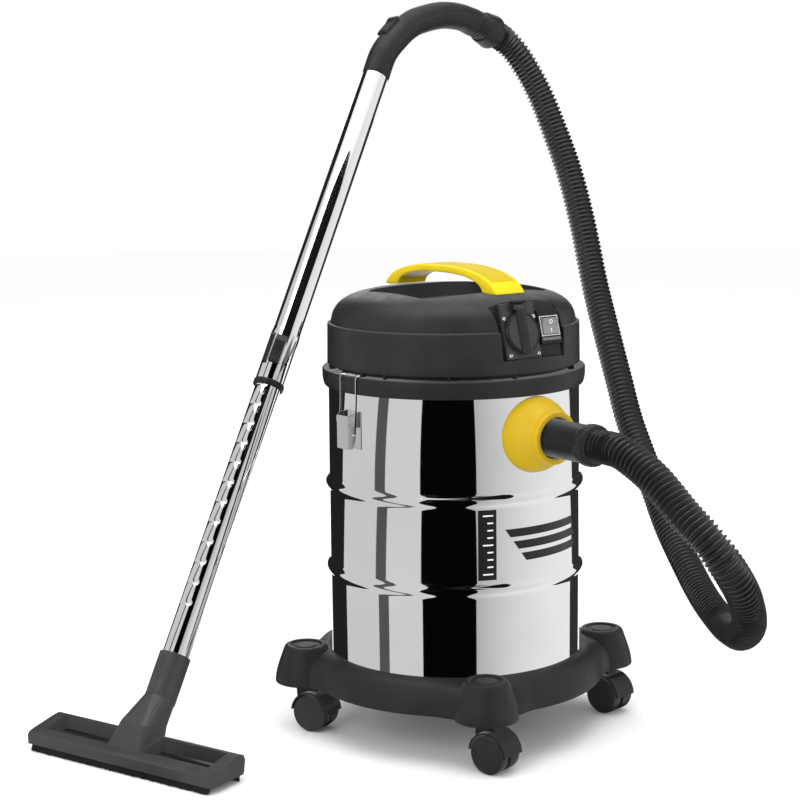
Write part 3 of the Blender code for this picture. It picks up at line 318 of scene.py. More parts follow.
# ---------------------------------------------------------------- node materials
class Look:
    """One node material on object coordinates, in metres in the part's own frame."""

    def __init__(self, name, colour, metallic=0.0, roughness=0.5, specular=0.5):
        self.mat = bpy.data.materials.new(name)
        self.mat.use_nodes = True
        self.nodes = self.mat.node_tree.nodes
        self.shader = self.nodes["Principled BSDF"]
        self.shader.inputs["Base Color"].default_value = (*colour, 1.0)
        self.shader.inputs["Metallic"].default_value = metallic
        self.shader.inputs["Roughness"].default_value = roughness
        self.shader.inputs["Specular IOR Level"].default_value = specular
        self.mat.diffuse_color = (*colour, 1.0)
        self.colour = colour
        self.coords = self.nodes.new("ShaderNodeTexCoord").outputs["Object"]
        self.normal = None

    def link(self, source, target):
        self.mat.node_tree.links.new(source, target)

    def noise(self, scale, detail=3.0, roughness=0.55, stretch=None):
        tex = self.nodes.new("ShaderNodeTexNoise")
        tex.inputs["Scale"].default_value = scale
        tex.inputs["Detail"].default_value = detail
        tex.inputs["Roughness"].default_value = roughness
        source = self.coords
        if stretch is not None:
            mapping = self.nodes.new("ShaderNodeMapping")
            mapping.inputs["Scale"].default_value = stretch
            self.link(source, mapping.inputs["Vector"])
            source = mapping.outputs["Vector"]
        self.link(source, tex.inputs["Vector"])
        return tex.outputs["Fac"]

    def ranged(self, source, low, high, start=0.3, end=0.7):
        node = self.nodes.new("ShaderNodeMapRange")
        node.inputs["From Min"].default_value = start
        node.inputs["From Max"].default_value = end
        node.inputs["To Min"].default_value = low
        node.inputs["To Max"].default_value = high
        self.link(source, node.inputs["Value"])
        return node.outputs["Result"]

    def tint(self, source, dark, light):
        """Base colour running between two colours with a texture."""
        ramp = self.nodes.new("ShaderNodeValToRGB")
        ramp.color_ramp.elements[0].position = 0.3
        ramp.color_ramp.elements[1].position = 0.7
        ramp.color_ramp.elements[0].color = (*dark, 1.0)
        ramp.color_ramp.elements[1].color = (*light, 1.0)
        self.link(source, ramp.inputs["Fac"])
        self.link(ramp.outputs["Color"], self.shader.inputs["Base Color"])

    def rough(self, source, low, high):
        self.link(self.ranged(source, low, high), self.shader.inputs["Roughness"])

    def soft_edges(self, radius):
        node = self.nodes.new("ShaderNodeBevel")
        node.samples = 4
        node.inputs["Radius"].default_value = radius
        self.normal = node.outputs["Normal"]
        self.link(self.normal, self.shader.inputs["Normal"])

    def bump(self, source, strength, distance):
        node = self.nodes.new("ShaderNodeBump")
        node.inputs["Strength"].default_value = strength
        node.inputs["Distance"].default_value = distance
        self.link(source, node.inputs["Height"])
        if self.normal is not None:
            self.link(self.normal, node.inputs["Normal"])
        self.normal = node.outputs["Normal"]
        self.link(self.normal, self.shader.inputs["Normal"])


def shade(colour, factor):
    return tuple(min(1.0, c * factor) for c in colour)


def plastic(name, colour, roughness=0.45, grain=0.10, edges=0.0007, specular=0.25, spread=0.14):
    """Moulded plastic: fine spark-eroded grain, faint cloudiness and slightly uneven gloss."""
    look = Look(name, colour, 0.0, roughness, specular)
    look.tint(look.noise(26.0, 4.0), shade(colour, 1 - spread), shade(colour, 1 + spread))
    look.rough(look.noise(60.0, 3.0), roughness - 0.05, roughness + 0.07)
    if edges:
        look.soft_edges(edges)
    if grain:
        look.bump(look.noise(1400.0, 2.0), grain, 0.0002)
    return look.mat


def metal(name, colour, roughness, wobble=0.0, scratches=0.0, edges=0.0):
    """Polished or plated metal: faint cloudy wear, hairline scratches and a slow waviness."""
    look = Look(name, colour, 1.0, roughness)
    look.tint(look.noise(9.0, 3.0), shade(colour, 0.965), shade(colour, 1.02))
    look.rough(look.noise(45.0, 5.0, 0.6), roughness * 0.7, roughness * 1.5)
    if edges:
        look.soft_edges(edges)
    if wobble:
        look.bump(look.noise(7.0, 1.0), 0.5, wobble)
    if scratches:
        look.bump(look.noise(60.0, 5.0, 0.7, (1.0, 1.0, 14.0)), 0.12, scratches)
    return look.mat


BLACK = (0.0145, 0.0145, 0.0150)
MATS = {
    "black": plastic("black_moulded", BLACK, 0.46, 0.10, 0.0008),
    "black_smooth": plastic("black_smooth", shade(BLACK, 0.85), 0.34, 0.04, 0.0006),
    "deep": plastic("deep_black", (0.010, 0.010, 0.0105), 0.50, 0.08, 0.0005),
    "pocket": plastic("pocket_black", (0.012, 0.012, 0.0125), 0.55, 0.12, 0.0008),
    "hose": plastic("hose_black", (0.0068, 0.0068, 0.0071), 0.32, 0.03, 0.0, 0.34),
    "nozzle": plastic("nozzle_black", (0.0330, 0.0330, 0.0338), 0.40, 0.08, 0.0006, 0.46),
    "wheel": plastic("wheel_black", (0.021, 0.021, 0.0215), 0.42, 0.06, 0.0005, 0.32),
    "yellow": plastic("yellow_handle", (0.760, 0.560, 0.0010), 0.36, 0.05, 0.0009, 0.20, 0.03),
    "yellow_top": plastic("yellow_grip", (0.520, 0.385, 0.001), 0.50, 0.18, 0.0, 0.14, 0.04),
    "amber": plastic("amber_boss", (0.520, 0.340, 0.0060), 0.40, 0.09, 0.0008, 0.20, 0.04),
    "grey": plastic("grey_rocker", (0.190, 0.193, 0.197), 0.32, 0.03, 0.0004, 0.35, 0.04),
    "pale": plastic("pale_mark", (0.760, 0.760, 0.750), 0.40, 0.02, 0.0, 0.5, 0.02),
    "ink": plastic("ink_print", (0.0040, 0.0040, 0.0042), 0.30, 0.02, 0.0, 0.4, 0.05),
    "cover": plastic("cover_black", shade(BLACK, 1.25), 0.44, 0.14, 0.0012),
    "panel": plastic("panel_black", (0.0240, 0.0240, 0.0246), 0.30, 0.05, 0.0005, 0.45),
    "cap": plastic("cap_black", shade(BLACK, 1.9), 0.50, 0.10, 0.0004),
    "pale_grey": plastic("pale_grey", (0.520, 0.520, 0.520), 0.35, 0.02, 0.0, 0.5, 0.03),
    "grey_dark": plastic("grey_dark", (0.110, 0.112, 0.115), 0.35, 0.03, 0.0, 0.5, 0.04),
    "orange": plastic("orange_float", (0.720, 0.200, 0.020), 0.45, 0.08),
    "drum": metal("polished_drum", (0.900, 0.902, 0.905), 0.035, 0.00016, 0.0),
    "chrome": metal("bright_chrome", (0.900, 0.902, 0.905), 0.045, 0.0, 0.0, 0.0),
    "zinc": metal("zinc_plate", (0.700, 0.700, 0.705), 0.20, 0.0, 0.00002, 0.0003),
    "motor": metal("cast_motor", (0.420, 0.430, 0.440), 0.45, 0.0, 0.00003, 0.0006),
}


def rubber_look():
    look = Look("soft_rubber", (0.012, 0.012, 0.012), 0.0, 0.72, 0.3)
    look.tint(look.noise(80.0, 4.0), (0.009, 0.009, 0.009), (0.017, 0.017, 0.017))
    look.bump(look.noise(700.0, 3.0), 0.15, 0.0003)
    return look.mat


def bristle_look():
    look = Look("nylon_bristle", (0.006, 0.006, 0.006), 0.0, 0.55, 0.2)
    look.tint(look.noise(420.0, 2.0), (0.003, 0.003, 0.003), (0.011, 0.011, 0.0112))
    return look.mat


def paper_look():
    look = Look("filter_paper", (0.780, 0.740, 0.640), 0.0, 0.85, 0.2)
    look.tint(look.noise(240.0, 5.0), (0.700, 0.660, 0.560), (0.800, 0.770, 0.680))
    look.bump(look.noise(900.0, 4.0), 0.25, 0.0004)
    return look.mat


MATS["rubber"] = rubber_look()
MATS["bristle"] = bristle_look()
MATS["paper"] = paper_look()


# ---------------------------------------------------------------- placing pieces
def smooth(data, angle=35.0):
    data.polygons.foreach_set("use_smooth", [True] * len(data.polygons))
    data.set_sharp_from_angle(angle=radians(angle))


def piece(name, data, look, body="machine", stands_for=(), angle=35.0):
    """A visible piece riding on a body; its mesh is already in the part's own frame."""
    smooth(data, angle)
    data.materials.clear()
    data.materials.append(MATS[look])
    obj = bpy.data.objects.new(name, data)
    bpy.context.scene.collection.objects.link(obj)
    if stands_for:
        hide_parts(*stands_for)
    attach(obj, body)
    return obj


def dress(node, look, bevel=0.0, segments=2):
    """A CAD node keeps its shape and gets a finished material, with rounded edges if asked."""
    obj = frame["nodes"][node]
    obj.data.materials.clear()
    obj.data.materials.append(MATS[look])
    smooth(obj.data)
    if bevel:
        soft = obj.modifiers.new("round", "BEVEL")
        soft.width = bevel
        soft.segments = segments
        soft.limit_method = "ANGLE"
        soft.angle_limit = radians(35)
        soft.harden_normals = False
    return obj


def cut(data, tools):
    """Cuts tool meshes out of one mesh and returns the result; the tools are thrown away."""
    obj = bpy.data.objects.new("body", data)
    bpy.context.scene.collection.objects.link(obj)
    others = []
    for k, tool in enumerate(tools):
        other = bpy.data.objects.new(f"tool_{k}", tool)
        bpy.context.scene.collection.objects.link(other)
        others.append(other)
        step = obj.modifiers.new(other.name, "BOOLEAN")
        step.operation = "DIFFERENCE"
        step.object = other
        step.solver = "EXACT"
    bpy.context.view_layer.update()
    graph = bpy.context.evaluated_depsgraph_get()
    result = bpy.data.meshes.new_from_object(obj.evaluated_get(graph))
    for other in (obj, *others):
        bpy.data.objects.remove(other, do_unlink=True)
    bm = bmesh.new()
    bm.from_mesh(result)
    bmesh.ops.remove_doubles(bm, verts=bm.verts, dist=0.00001)
    bmesh.ops.dissolve_degenerate(bm, edges=bm.edges, dist=0.00001)
    bm.to_mesh(result)
    bm.free()
    return result


def round_the_axis(radius, bearing, height=0.0):
    angle = radians(bearing)
    return Vector((radius * sin(angle), -radius * cos(angle), height))


# ---------------------------------------------------------------- camera
def make_camera():
    data = bpy.data.cameras.new("camera")
    data.sensor_width = 36.0
    data.sensor_fit = "HORIZONTAL"
    data.lens = LENS
    data.clip_start = 0.05
    data.clip_end = 60.0
    turn = Matrix((CAMERA_RIGHT, CAMERA_UP, -CAMERA_FORWARD)).transposed().to_4x4()
    camera = bpy.data.objects.new("camera", data)
    camera.matrix_world = Matrix.Translation(CAMERA_PLACE + AXIS) @ turn
    bpy.context.scene.collection.objects.link(camera)
    bpy.context.scene.camera = camera
    return camera


# ---------------------------------------------------------------- wand and handle lines
def wand_frame():
    along = (WAND_HEAD - WAND_FOOT).normalized()
    level = Vector((cos(radians(BEND_BEARING)), sin(radians(BEND_BEARING)), 0))
    across = (level - along * level.dot(along)).normalized()
    return along, across


def handle_path(step):
    along, across = wand_frame()
    return smooth_path([WAND_HEAD + along * a + across * b for a, b in HANDLE_BEND], step)


def handle_parts():
    """The handle's centre line up to the hose cuff, and the cuff's own centre line."""
    _, across = wand_frame()
    path = handle_path(0.0150)
    split = min(range(len(path)),
                key=lambda i: abs((path[i] - WAND_HEAD).dot(across) - HANDLE_CUFF_START))
    body = path[:split + 1]
    end = (body[-1] - body[-2]).normalized()
    cuff = [body[-1] + end * GAP, body[-1] + end * 0.004] + path[split + 1:]
    return body, cuff


def wand_matrix(distance=0.0):
    """Matrix of a spot on the tube axis, its Z along the tube and X towards the bend."""
    along, across = wand_frame()
    turn = Matrix((across, along.cross(across), along)).transposed().to_4x4()
    return MACHINE @ Matrix.Translation(WAND_HEAD + along * distance) @ turn


# ---------------------------------------------------------------- hose
def make_hose():
    _, cuff = handle_parts()
    far = cuff[-1]
    direction = (cuff[-1] - cuff[-2]).normalized()
    start = Vector((0, -CUFF_END - GAP, INLET_Z))
    route = [start, *HOSE_ROUTE, far + direction * 0.028, far + direction * GAP]
    fine = [p + AXIS for p in smooth_path(route, 0.0020)]
    length = sum((b - a).length for a, b in zip(fine, fine[1:]))
    inward = (fine[0] - fine[1]).normalized()
    outward = (fine[-1] - fine[-2]).normalized()
    long_path = [fine[0] + inward * 0.012, *fine, fine[-1] + outward * 0.012]
    total = length + 0.024
    pitches = round(total / HOSE_PITCH)
    pitch = total / pitches
    distances = []
    radii = []
    for k in range(pitches):
        for part, radius in RIB:
            distances.append((k + part) * pitch)
            radii.append(radius)
    distances.append(total)
    radii.append(RIB[0][1])
    centres = along_path(long_path, distances)
    sections = sweep(centres, radii, 24, (0, 0, 1))
    hose = piece("hose_corrugated", lofted("hose_corrugated", sections), "hose",
                 stands_for=("hose",), angle=60.0)
    return hose, fine, length


# ---------------------------------------------------------------- studio, and glowing cards that paint reflections on the drum and the wand
def glow(name, level):
    mat = bpy.data.materials.new(name)
    mat.use_nodes = True
    nodes = mat.node_tree.nodes
    nodes.clear()
    source = nodes.new("ShaderNodeEmission")
    source.inputs["Color"].default_value = (level, level, level, 1.0)
    out = nodes.new("ShaderNodeOutputMaterial")
    mat.node_tree.links.new(source.outputs["Emission"], out.inputs["Surface"])
    return mat


def staged(name, data, mat, unseen_by=()):
    """A part of the studio, hidden from the named kinds of ray."""
    data.materials.append(mat)
    obj = bpy.data.objects.new(name, data)
    for kind in unseen_by:
        setattr(obj, f"visible_{kind}", False)
    bpy.context.scene.collection.objects.link(obj)
    return obj


def card(name, corners, level):
    """A flat glowing card that only reflections see, so it paints a reflection and casts no diffuse light.
    """
    bm = bmesh.new()
    bm.faces.new([bm.verts.new(c) for c in corners])
    staged(name, mesh_from(bm, name), glow(name, level),
           ("camera", "diffuse", "shadow", "transmission"))


# the view that the painted drum reflections are laid out for
VIEW_BEARING = -38.0
VIEW_DISTANCE = 2.40


def mirror_ray(image_part):
    """Start point and level direction of what the drum mirrors at a share of its half width,
    -1 at its left edge to 1 at its right edge as the camera sees it."""
    angle = atan2(image_part, sqrt(max(0.0, 1 - image_part ** 2)))
    normal = Vector((sin(angle), cos(angle)))
    point = normal * DRUM_R
    ray = (point - Vector((0.0, VIEW_DISTANCE))).normalized()
    bounce = ray - normal * 2 * ray.dot(normal)
    turn = radians(VIEW_BEARING)
    # level axes: first towards the image's right, second towards the camera
    right = Vector((cos(turn), sin(turn)))
    near = Vector((sin(turn), -cos(turn)))
    start = right * point.x + near * point.y
    heading = right * bounce.x + near * bounce.y
    return start, heading


def painted_reflection_band(name, left, right, level, reach=1.5, height=2.2):
    """A floor strip and an upright glowing card whose mirror image paints one straight band of reflection
    on the drum, laid out for one view of it.
    """
    rims = []
    for part in (left, right):
        start, heading = mirror_ray(part)
        rims.append((start + heading * 0.004, start + heading * reach))
    (a, b), (c, d) = rims
    lift = 0.0020
    flat = [Vector((*p, lift)) + AXIS for p in (a, b, d, c)]
    card(f"{name}_floor", flat, level)
    wall = [Vector((*b, lift)) + AXIS, Vector((*d, lift)) + AXIS,
            Vector((*d, height)) + AXIS, Vector((*b, height)) + AXIS]
    card(f"{name}_wall", wall, level)


def make_studio():
    scene = bpy.context.scene
    scene.view_settings.view_transform = "Standard"
    scene.view_settings.look = "None"
    scene.view_settings.exposure = 0.0
    scene.view_settings.gamma = 1.0
    world = bpy.data.worlds.new("studio")
    scene.world = world
    world.use_nodes = True
    world.node_tree.nodes["Background"].inputs["Color"].default_value = (1.0, 1.0, 1.0, 1.0)
    world.node_tree.nodes["Background"].inputs["Strength"].default_value = 1.02

    bm = bmesh.new()
    bmesh.ops.create_circle(bm, cap_ends=True, segments=96, radius=9.0)
    floor_data = mesh_from(bm, "floor")
    look = Look("pale_floor", (0.95, 0.95, 0.95), 0.0, 0.9, 0.0)
    look.tint(look.noise(3.0, 2.0), (0.945, 0.945, 0.945), (0.955, 0.955, 0.955))
    floor = staged("floor", floor_data, look.mat)
    floor.location = (0, 0, -GAP)

    bm = bmesh.new()
    bmesh.ops.create_uvsphere(bm, u_segments=48, v_segments=24, radius=12.0)
    bmesh.ops.reverse_faces(bm, faces=bm.faces)
    sky_data = bpy.data.meshes.new("backdrop")
    bm.to_mesh(sky_data)
    bm.free()
    staged("backdrop", sky_data, glow("backdrop", 1.0),
           ("diffuse", "glossy", "shadow", "transmission"))

    def area(name, place, aim, size, power):
        data = bpy.data.lights.new(name, "AREA")
        data.shape = "RECTANGLE"
        data.size, data.size_y = size
        data.energy = power
        lamp = bpy.data.objects.new(name, data)
        lamp.location = place
        lamp.rotation_euler = (Vector(aim) - Vector(place)).to_track_quat("-Z", "Y").to_euler()
        scene.collection.objects.link(lamp)

    area("top_box", (-0.2, -0.2, 2.9), (0.0, 0.0, 0.3), (2.6, 2.6), 42)
    area("key_box", (-2.9, -1.2, 1.7), (0.0, 0.0, 0.4), (1.4, 1.8), 28)
    area("fill_box", (1.6, -2.9, 1.5), (0.1, -0.1, 0.4), (1.6, 1.8), 17)
    area("back_box", (0.8, 2.9, 1.7), (0.1, 0.0, 0.4), (2.0, 1.6), 15)


def make_mirror_bands():
    """Painted reflections: what the drum mirrors from its left edge to its right edge, as soft upright
    glowing bands.
    """
    for name, left, right, level in (("band_dark_left", -0.990, -0.860, 0.015),
                                     ("band_pale_left", -0.860, -0.600, 0.620),
                                     ("band_line", -0.600, -0.520, 0.090),
                                     ("band_pale_middle", -0.520, -0.255, 0.660),
                                     ("band_black", -0.255, 0.165, 0.0015),
                                     ("band_dark_right", 0.910, 0.985, 0.030)):
        painted_reflection_band(name, left, right, level)
    # painted reflection: a grey gradient of glowing bands, brighter towards the drum's right edge
    steps = 24
    for k in range(steps):
        left = 0.165 + 0.745 * k / steps
        right = 0.165 + 0.745 * (k + 1) / steps
        level = 0.46 + 0.42 * sin(0.5 * pi * (k + 0.5) / steps)
        painted_reflection_band(f"band_grey_{k + 1}", left, right, level)


def painted_tube_reflection(name, start, end, left, right, level, far=2.2):
    """A glowing card whose mirror image paints a straight stripe of reflection along a stretch of the wand,
    laid out from the camera; left and right are shares of the tube's half width as the camera sees it,
    start and end distances down it."""
    along, _ = wand_frame()
    eye = camera.matrix_world.translation
    ends = [WAND_HEAD + AXIS - along * start, WAND_HEAD + AXIS - along * end]
    rims = []
    for spot in ends:
        ray = (spot - eye).normalized()
        facing = (-ray - along * -ray.dot(along)).normalized()
        aside = ray.cross(along).normalized()
        row = []
        for share in (left, right):
            normal = facing * sqrt(1 - share * share) + aside * share
            row.append(spot + (ray - normal * 2 * ray.dot(normal)) * far)
        rims.append(row)
    (a, b), (c, d) = rims
    card(name, [a, b, d, c], level)


def make_tube_bands():
    # painted reflections: dark glowing cards that paint stripes along the chrome wand
    painted_tube_reflection("stripe_upper", 0.0, UPPER_LENGTH, -0.30, 0.30, 0.008)
    painted_tube_reflection("stripe_lower", UPPER_LENGTH, 0.9400, -0.15, 0.20, 0.012)
    painted_tube_reflection("stripe_edge", 0.0, 0.9400, 0.82, 0.97, 0.020)


# ---------------------------------------------------------------- drum
def drum_profile():
    z = DRUM_BASE_Z
    outside = [(0, z), (0.1560, z), (0.1605, z + 0.0004), (0.1640, z + 0.0016),
               (0.1658, z + 0.0036), (DRUM_R, z + 0.0070)]
    for height in BEADS_Z:
        for k in range(13):
            t = -1 + k / 6
            swell = BEAD_HEIGHT * 0.5 * (1 + cos(pi * t))
            outside.append((DRUM_R + swell, height + BEAD_HALF * t))
    outside += [(DRUM_R, 0.4675), (DRUM_R + 0.0008, 0.4690), (DRUM_R + 0.0012, 0.4700),
                (DRUM_R + 0.0012, 0.4770), (DRUM_R + 0.0004, DRUM_TOP_Z)]
    inner = DRUM_R - DRUM_WALL
    inside = [(inner + 0.0004, DRUM_TOP_Z), (inner, 0.4765)]
    for height in reversed(BEADS_Z):
        for k in range(7):
            t = 1 - k / 3
            swell = BEAD_HEIGHT * 0.5 * (1 + cos(pi * t))
            inside.append((inner + swell, height + BEAD_HALF * t))
    inside += [(inner, z + 0.0070), (0.1638, z + 0.0028), (0.1586, z + DRUM_WALL), (0, z + DRUM_WALL)]
    return outside + inside


def make_drum():
    data = turned("drum_shell", drum_profile(), 144, MACHINE)
    hole = rod("inlet_hole", 0.0288, 0.12, 0.20, 48, MACHINE @ shift(z=INLET_Z) @ TO_Y)
    piece("drum_shell", cut(data, [hole]), "drum", stands_for=("drum",), angle=40.0)


def drum_print(name, outline, look, proud=0.0003):
    """A thin printed shape lying on the drum; the outline is (left, right) bearings per height."""
    bm = bmesh.new()
    steps = 14
    layers = []
    for radius in (DRUM_R + proud, DRUM_R + 0.0001):
        rows = []
        for height, left, right in outline:
            row = []
            for k in range(steps + 1):
                bearing = left + (right - left) * k / steps
                row.append(bm.verts.new(round_the_axis(radius, bearing, height) + AXIS))
            rows.append(row)
        layers.append(rows)
    for rows in layers:
        for low, high in zip(rows, rows[1:]):
            for k in range(steps):
                bm.faces.new((low[k], low[k + 1], high[k + 1], high[k]))
    front, back = layers
    rim_front = front[0] + [r[-1] for r in front[1:]] + front[-1][-2::-1] + [r[0] for r in front[-2:0:-1]]
    rim_back = back[0] + [r[-1] for r in back[1:]] + back[-1][-2::-1] + [r[0] for r in back[-2:0:-1]]
    bridge(bm, rim_front, rim_back)
    return piece(name, mesh_from(bm, name), look)


def make_prints():
    """A level gauge with plain ticks and three plain stripes; no lettering."""
    drum_print("gauge_panel", ((0.2325, -27.9, -19.7), (0.3225, -27.9, -19.7)), "ink")
    for k in range(9):
        z = 0.2400 + 0.0094 * k
        reach = 4.6 if k % 4 == 0 else 2.6
        drum_print(f"gauge_tick_{k + 1}", ((z - 0.0009, -21.2 - reach, -21.2),
                                           (z + 0.0009, -21.2 - reach, -21.2)), "pale", 0.00045)
    for k, (z, left, right) in enumerate(((0.2905, -13.0, 29.0), (0.2745, -9.0, 31.0),
                                          (0.2585, -5.0, 33.0))):
        drum_print(f"drum_stripe_{k + 1}", ((z - 0.0052, left, right),
                                            (z + 0.0052, left - 2.6, right - 2.6)), "ink")


# ---------------------------------------------------------------- dolly and casters
def swell_skirt(data):
    for vert in data.vertices:
        x, y, _ = vert.co
        radius = sqrt(x * x + y * y)
        if radius < 0.1780:
            continue
        bearing = degrees(atan2(x, -y))
        near = min(abs((bearing - cup + 180) % 360 - 180) for cup in CUP_BEARINGS)
        share = min(1.0, (radius - 0.1780) / (0.1970 - 0.1780))
        grow = 1 + share * 0.0160 * exp(-(near / 15.0) ** 4) / radius
        vert.co.x = x * grow
        vert.co.y = y * grow


def joined(name, parts):
    bm = bmesh.new()
    for data in parts:
        bm.from_mesh(data)
        bpy.data.meshes.remove(data)
    bmesh.ops.recalc_face_normals(bm, faces=bm.faces)
    data = bpy.data.meshes.new(name)
    bm.to_mesh(data)
    bm.free()
    return data


def make_dolly():
    rim = [(0, 0.0850), (0.1640, 0.0850), (0.1690, 0.0880), (0.1890, 0.0870), (0.1930, 0.0668),
           (0.1938, 0.0660), (0.1962, 0.0660), (0.1970, 0.0668), (0.1970, 0.0700), (0.1966, 0.0770),
           (0.1958, 0.0840), (0.1944, 0.0905), (0.1924, 0.0960), (0.1896, 0.1003), (0.1860, 0.1038),
           (0.1818, 0.1065), (0.1775, 0.1081), (0.1735, 0.1089), (0.1712, 0.1090), (0.1699, 0.1086),
           (0.1692, 0.1074), (0.1690, 0.0950), (0.1660, 0.0885), (0, 0.0885)]
    ring = turned("dolly_ring", rim, 180)
    swell_skirt(ring)
    ring.transform(MACHINE)
    piece("dolly_moulding", ring, "black", stands_for=("dolly_base",), angle=50.0)
    cup = [(0, 0.0665), (0.0400, 0.0665), (0.0408, 0.0660), (0.0414, 0.0662), (0.0415, 0.0672),
           (0.0409, 0.0730), (0.0396, 0.0800), (0.0377, 0.0870), (0.0354, 0.0940), (0.0333, 0.1000),
           (0.0314, 0.1050), (0.0300, 0.1090), (0.0289, 0.1118), (0.0277, 0.1137), (0.0262, 0.1147),
           (0.0245, 0.1150), (0.0216, 0.1150), (0.0209, 0.1147), (0.0206, 0.1139), (0.0205, 0.1118),
           (0, 0.1118)]
    disc = [(0, 0.1120), (0.0136, 0.1120), (0.0138, 0.1136), (0.0134, 0.1142), (0, 0.1144)]
    well = [(0.0139, 0.1119), (0.0204, 0.1119), (0.0204, 0.1121), (0.0139, 0.1121)]
    for name, bearing in zip(CORNERS, CUP_BEARINGS):
        move = MACHINE @ Matrix.Translation(round_the_axis(CUP_RING_R, bearing))
        piece(f"cup_{name}", turned("cup", cup, 64, move), "black", angle=50.0)
        piece(f"cup_cap_{name}", turned("cap", disc, 48, move), "cap", angle=50.0)
        piece(f"cup_groove_{name}", turned("groove", well, 48, move), "deep", angle=50.0)


def make_wheels():
    half = WHEEL_WIDTH / 2
    tyre = [(0, -half), (0.0236, -half), (0.0245, -half + 0.0004), (0.0250, -half + 0.0014),
            (0.0250, half - 0.0034), (0.0247, half - 0.0020), (0.0240, half - 0.0008),
            (0.0230, half - 0.0001), (0.0221, half), (0.0216, half - 0.0001),
            (0.0212, half - 0.0006), (0.0208, half - 0.0006), (0.0204, half - 0.0003), (0, half - 0.0003)]
    for name, bearing, yaw in zip(CORNERS, CUP_BEARINGS, CASTER_YAWS):
        fork = (MACHINE @ Matrix.Translation(round_the_axis(CUP_RING_R, bearing))
                @ turn_z(yaw) @ shift(-CASTER_TRAIL, 0, WHEEL_R))
        for side, sign in (("a", -1), ("b", 1)):
            spin = turn_z(180) if sign > 0 else Matrix.Identity(4)
            move = fork @ shift(0, sign * WHEEL_OFFSET, 0) @ spin @ TO_Y
            wheel = turned("wheel", tyre, 56, move)
            piece(f"wheel_{name}_{side}", wheel, "wheel", f"wheels_{name}",
                  stands_for=(f"caster_wheel_{name}_{side}",), angle=28.0)
            hub = turned("hub", [(0, half - 0.0004), (0.0050, half - 0.0004), (0.0048, half - 0.00005),
                                 (0, half)], 32, move)
            piece(f"hub_{name}_{side}", hub, "wheel", f"wheels_{name}", angle=28.0)
        dress(f"caster_hood_{name}", "black_smooth", 0.0006)
        dress(f"caster_axle_{name}", "zinc")


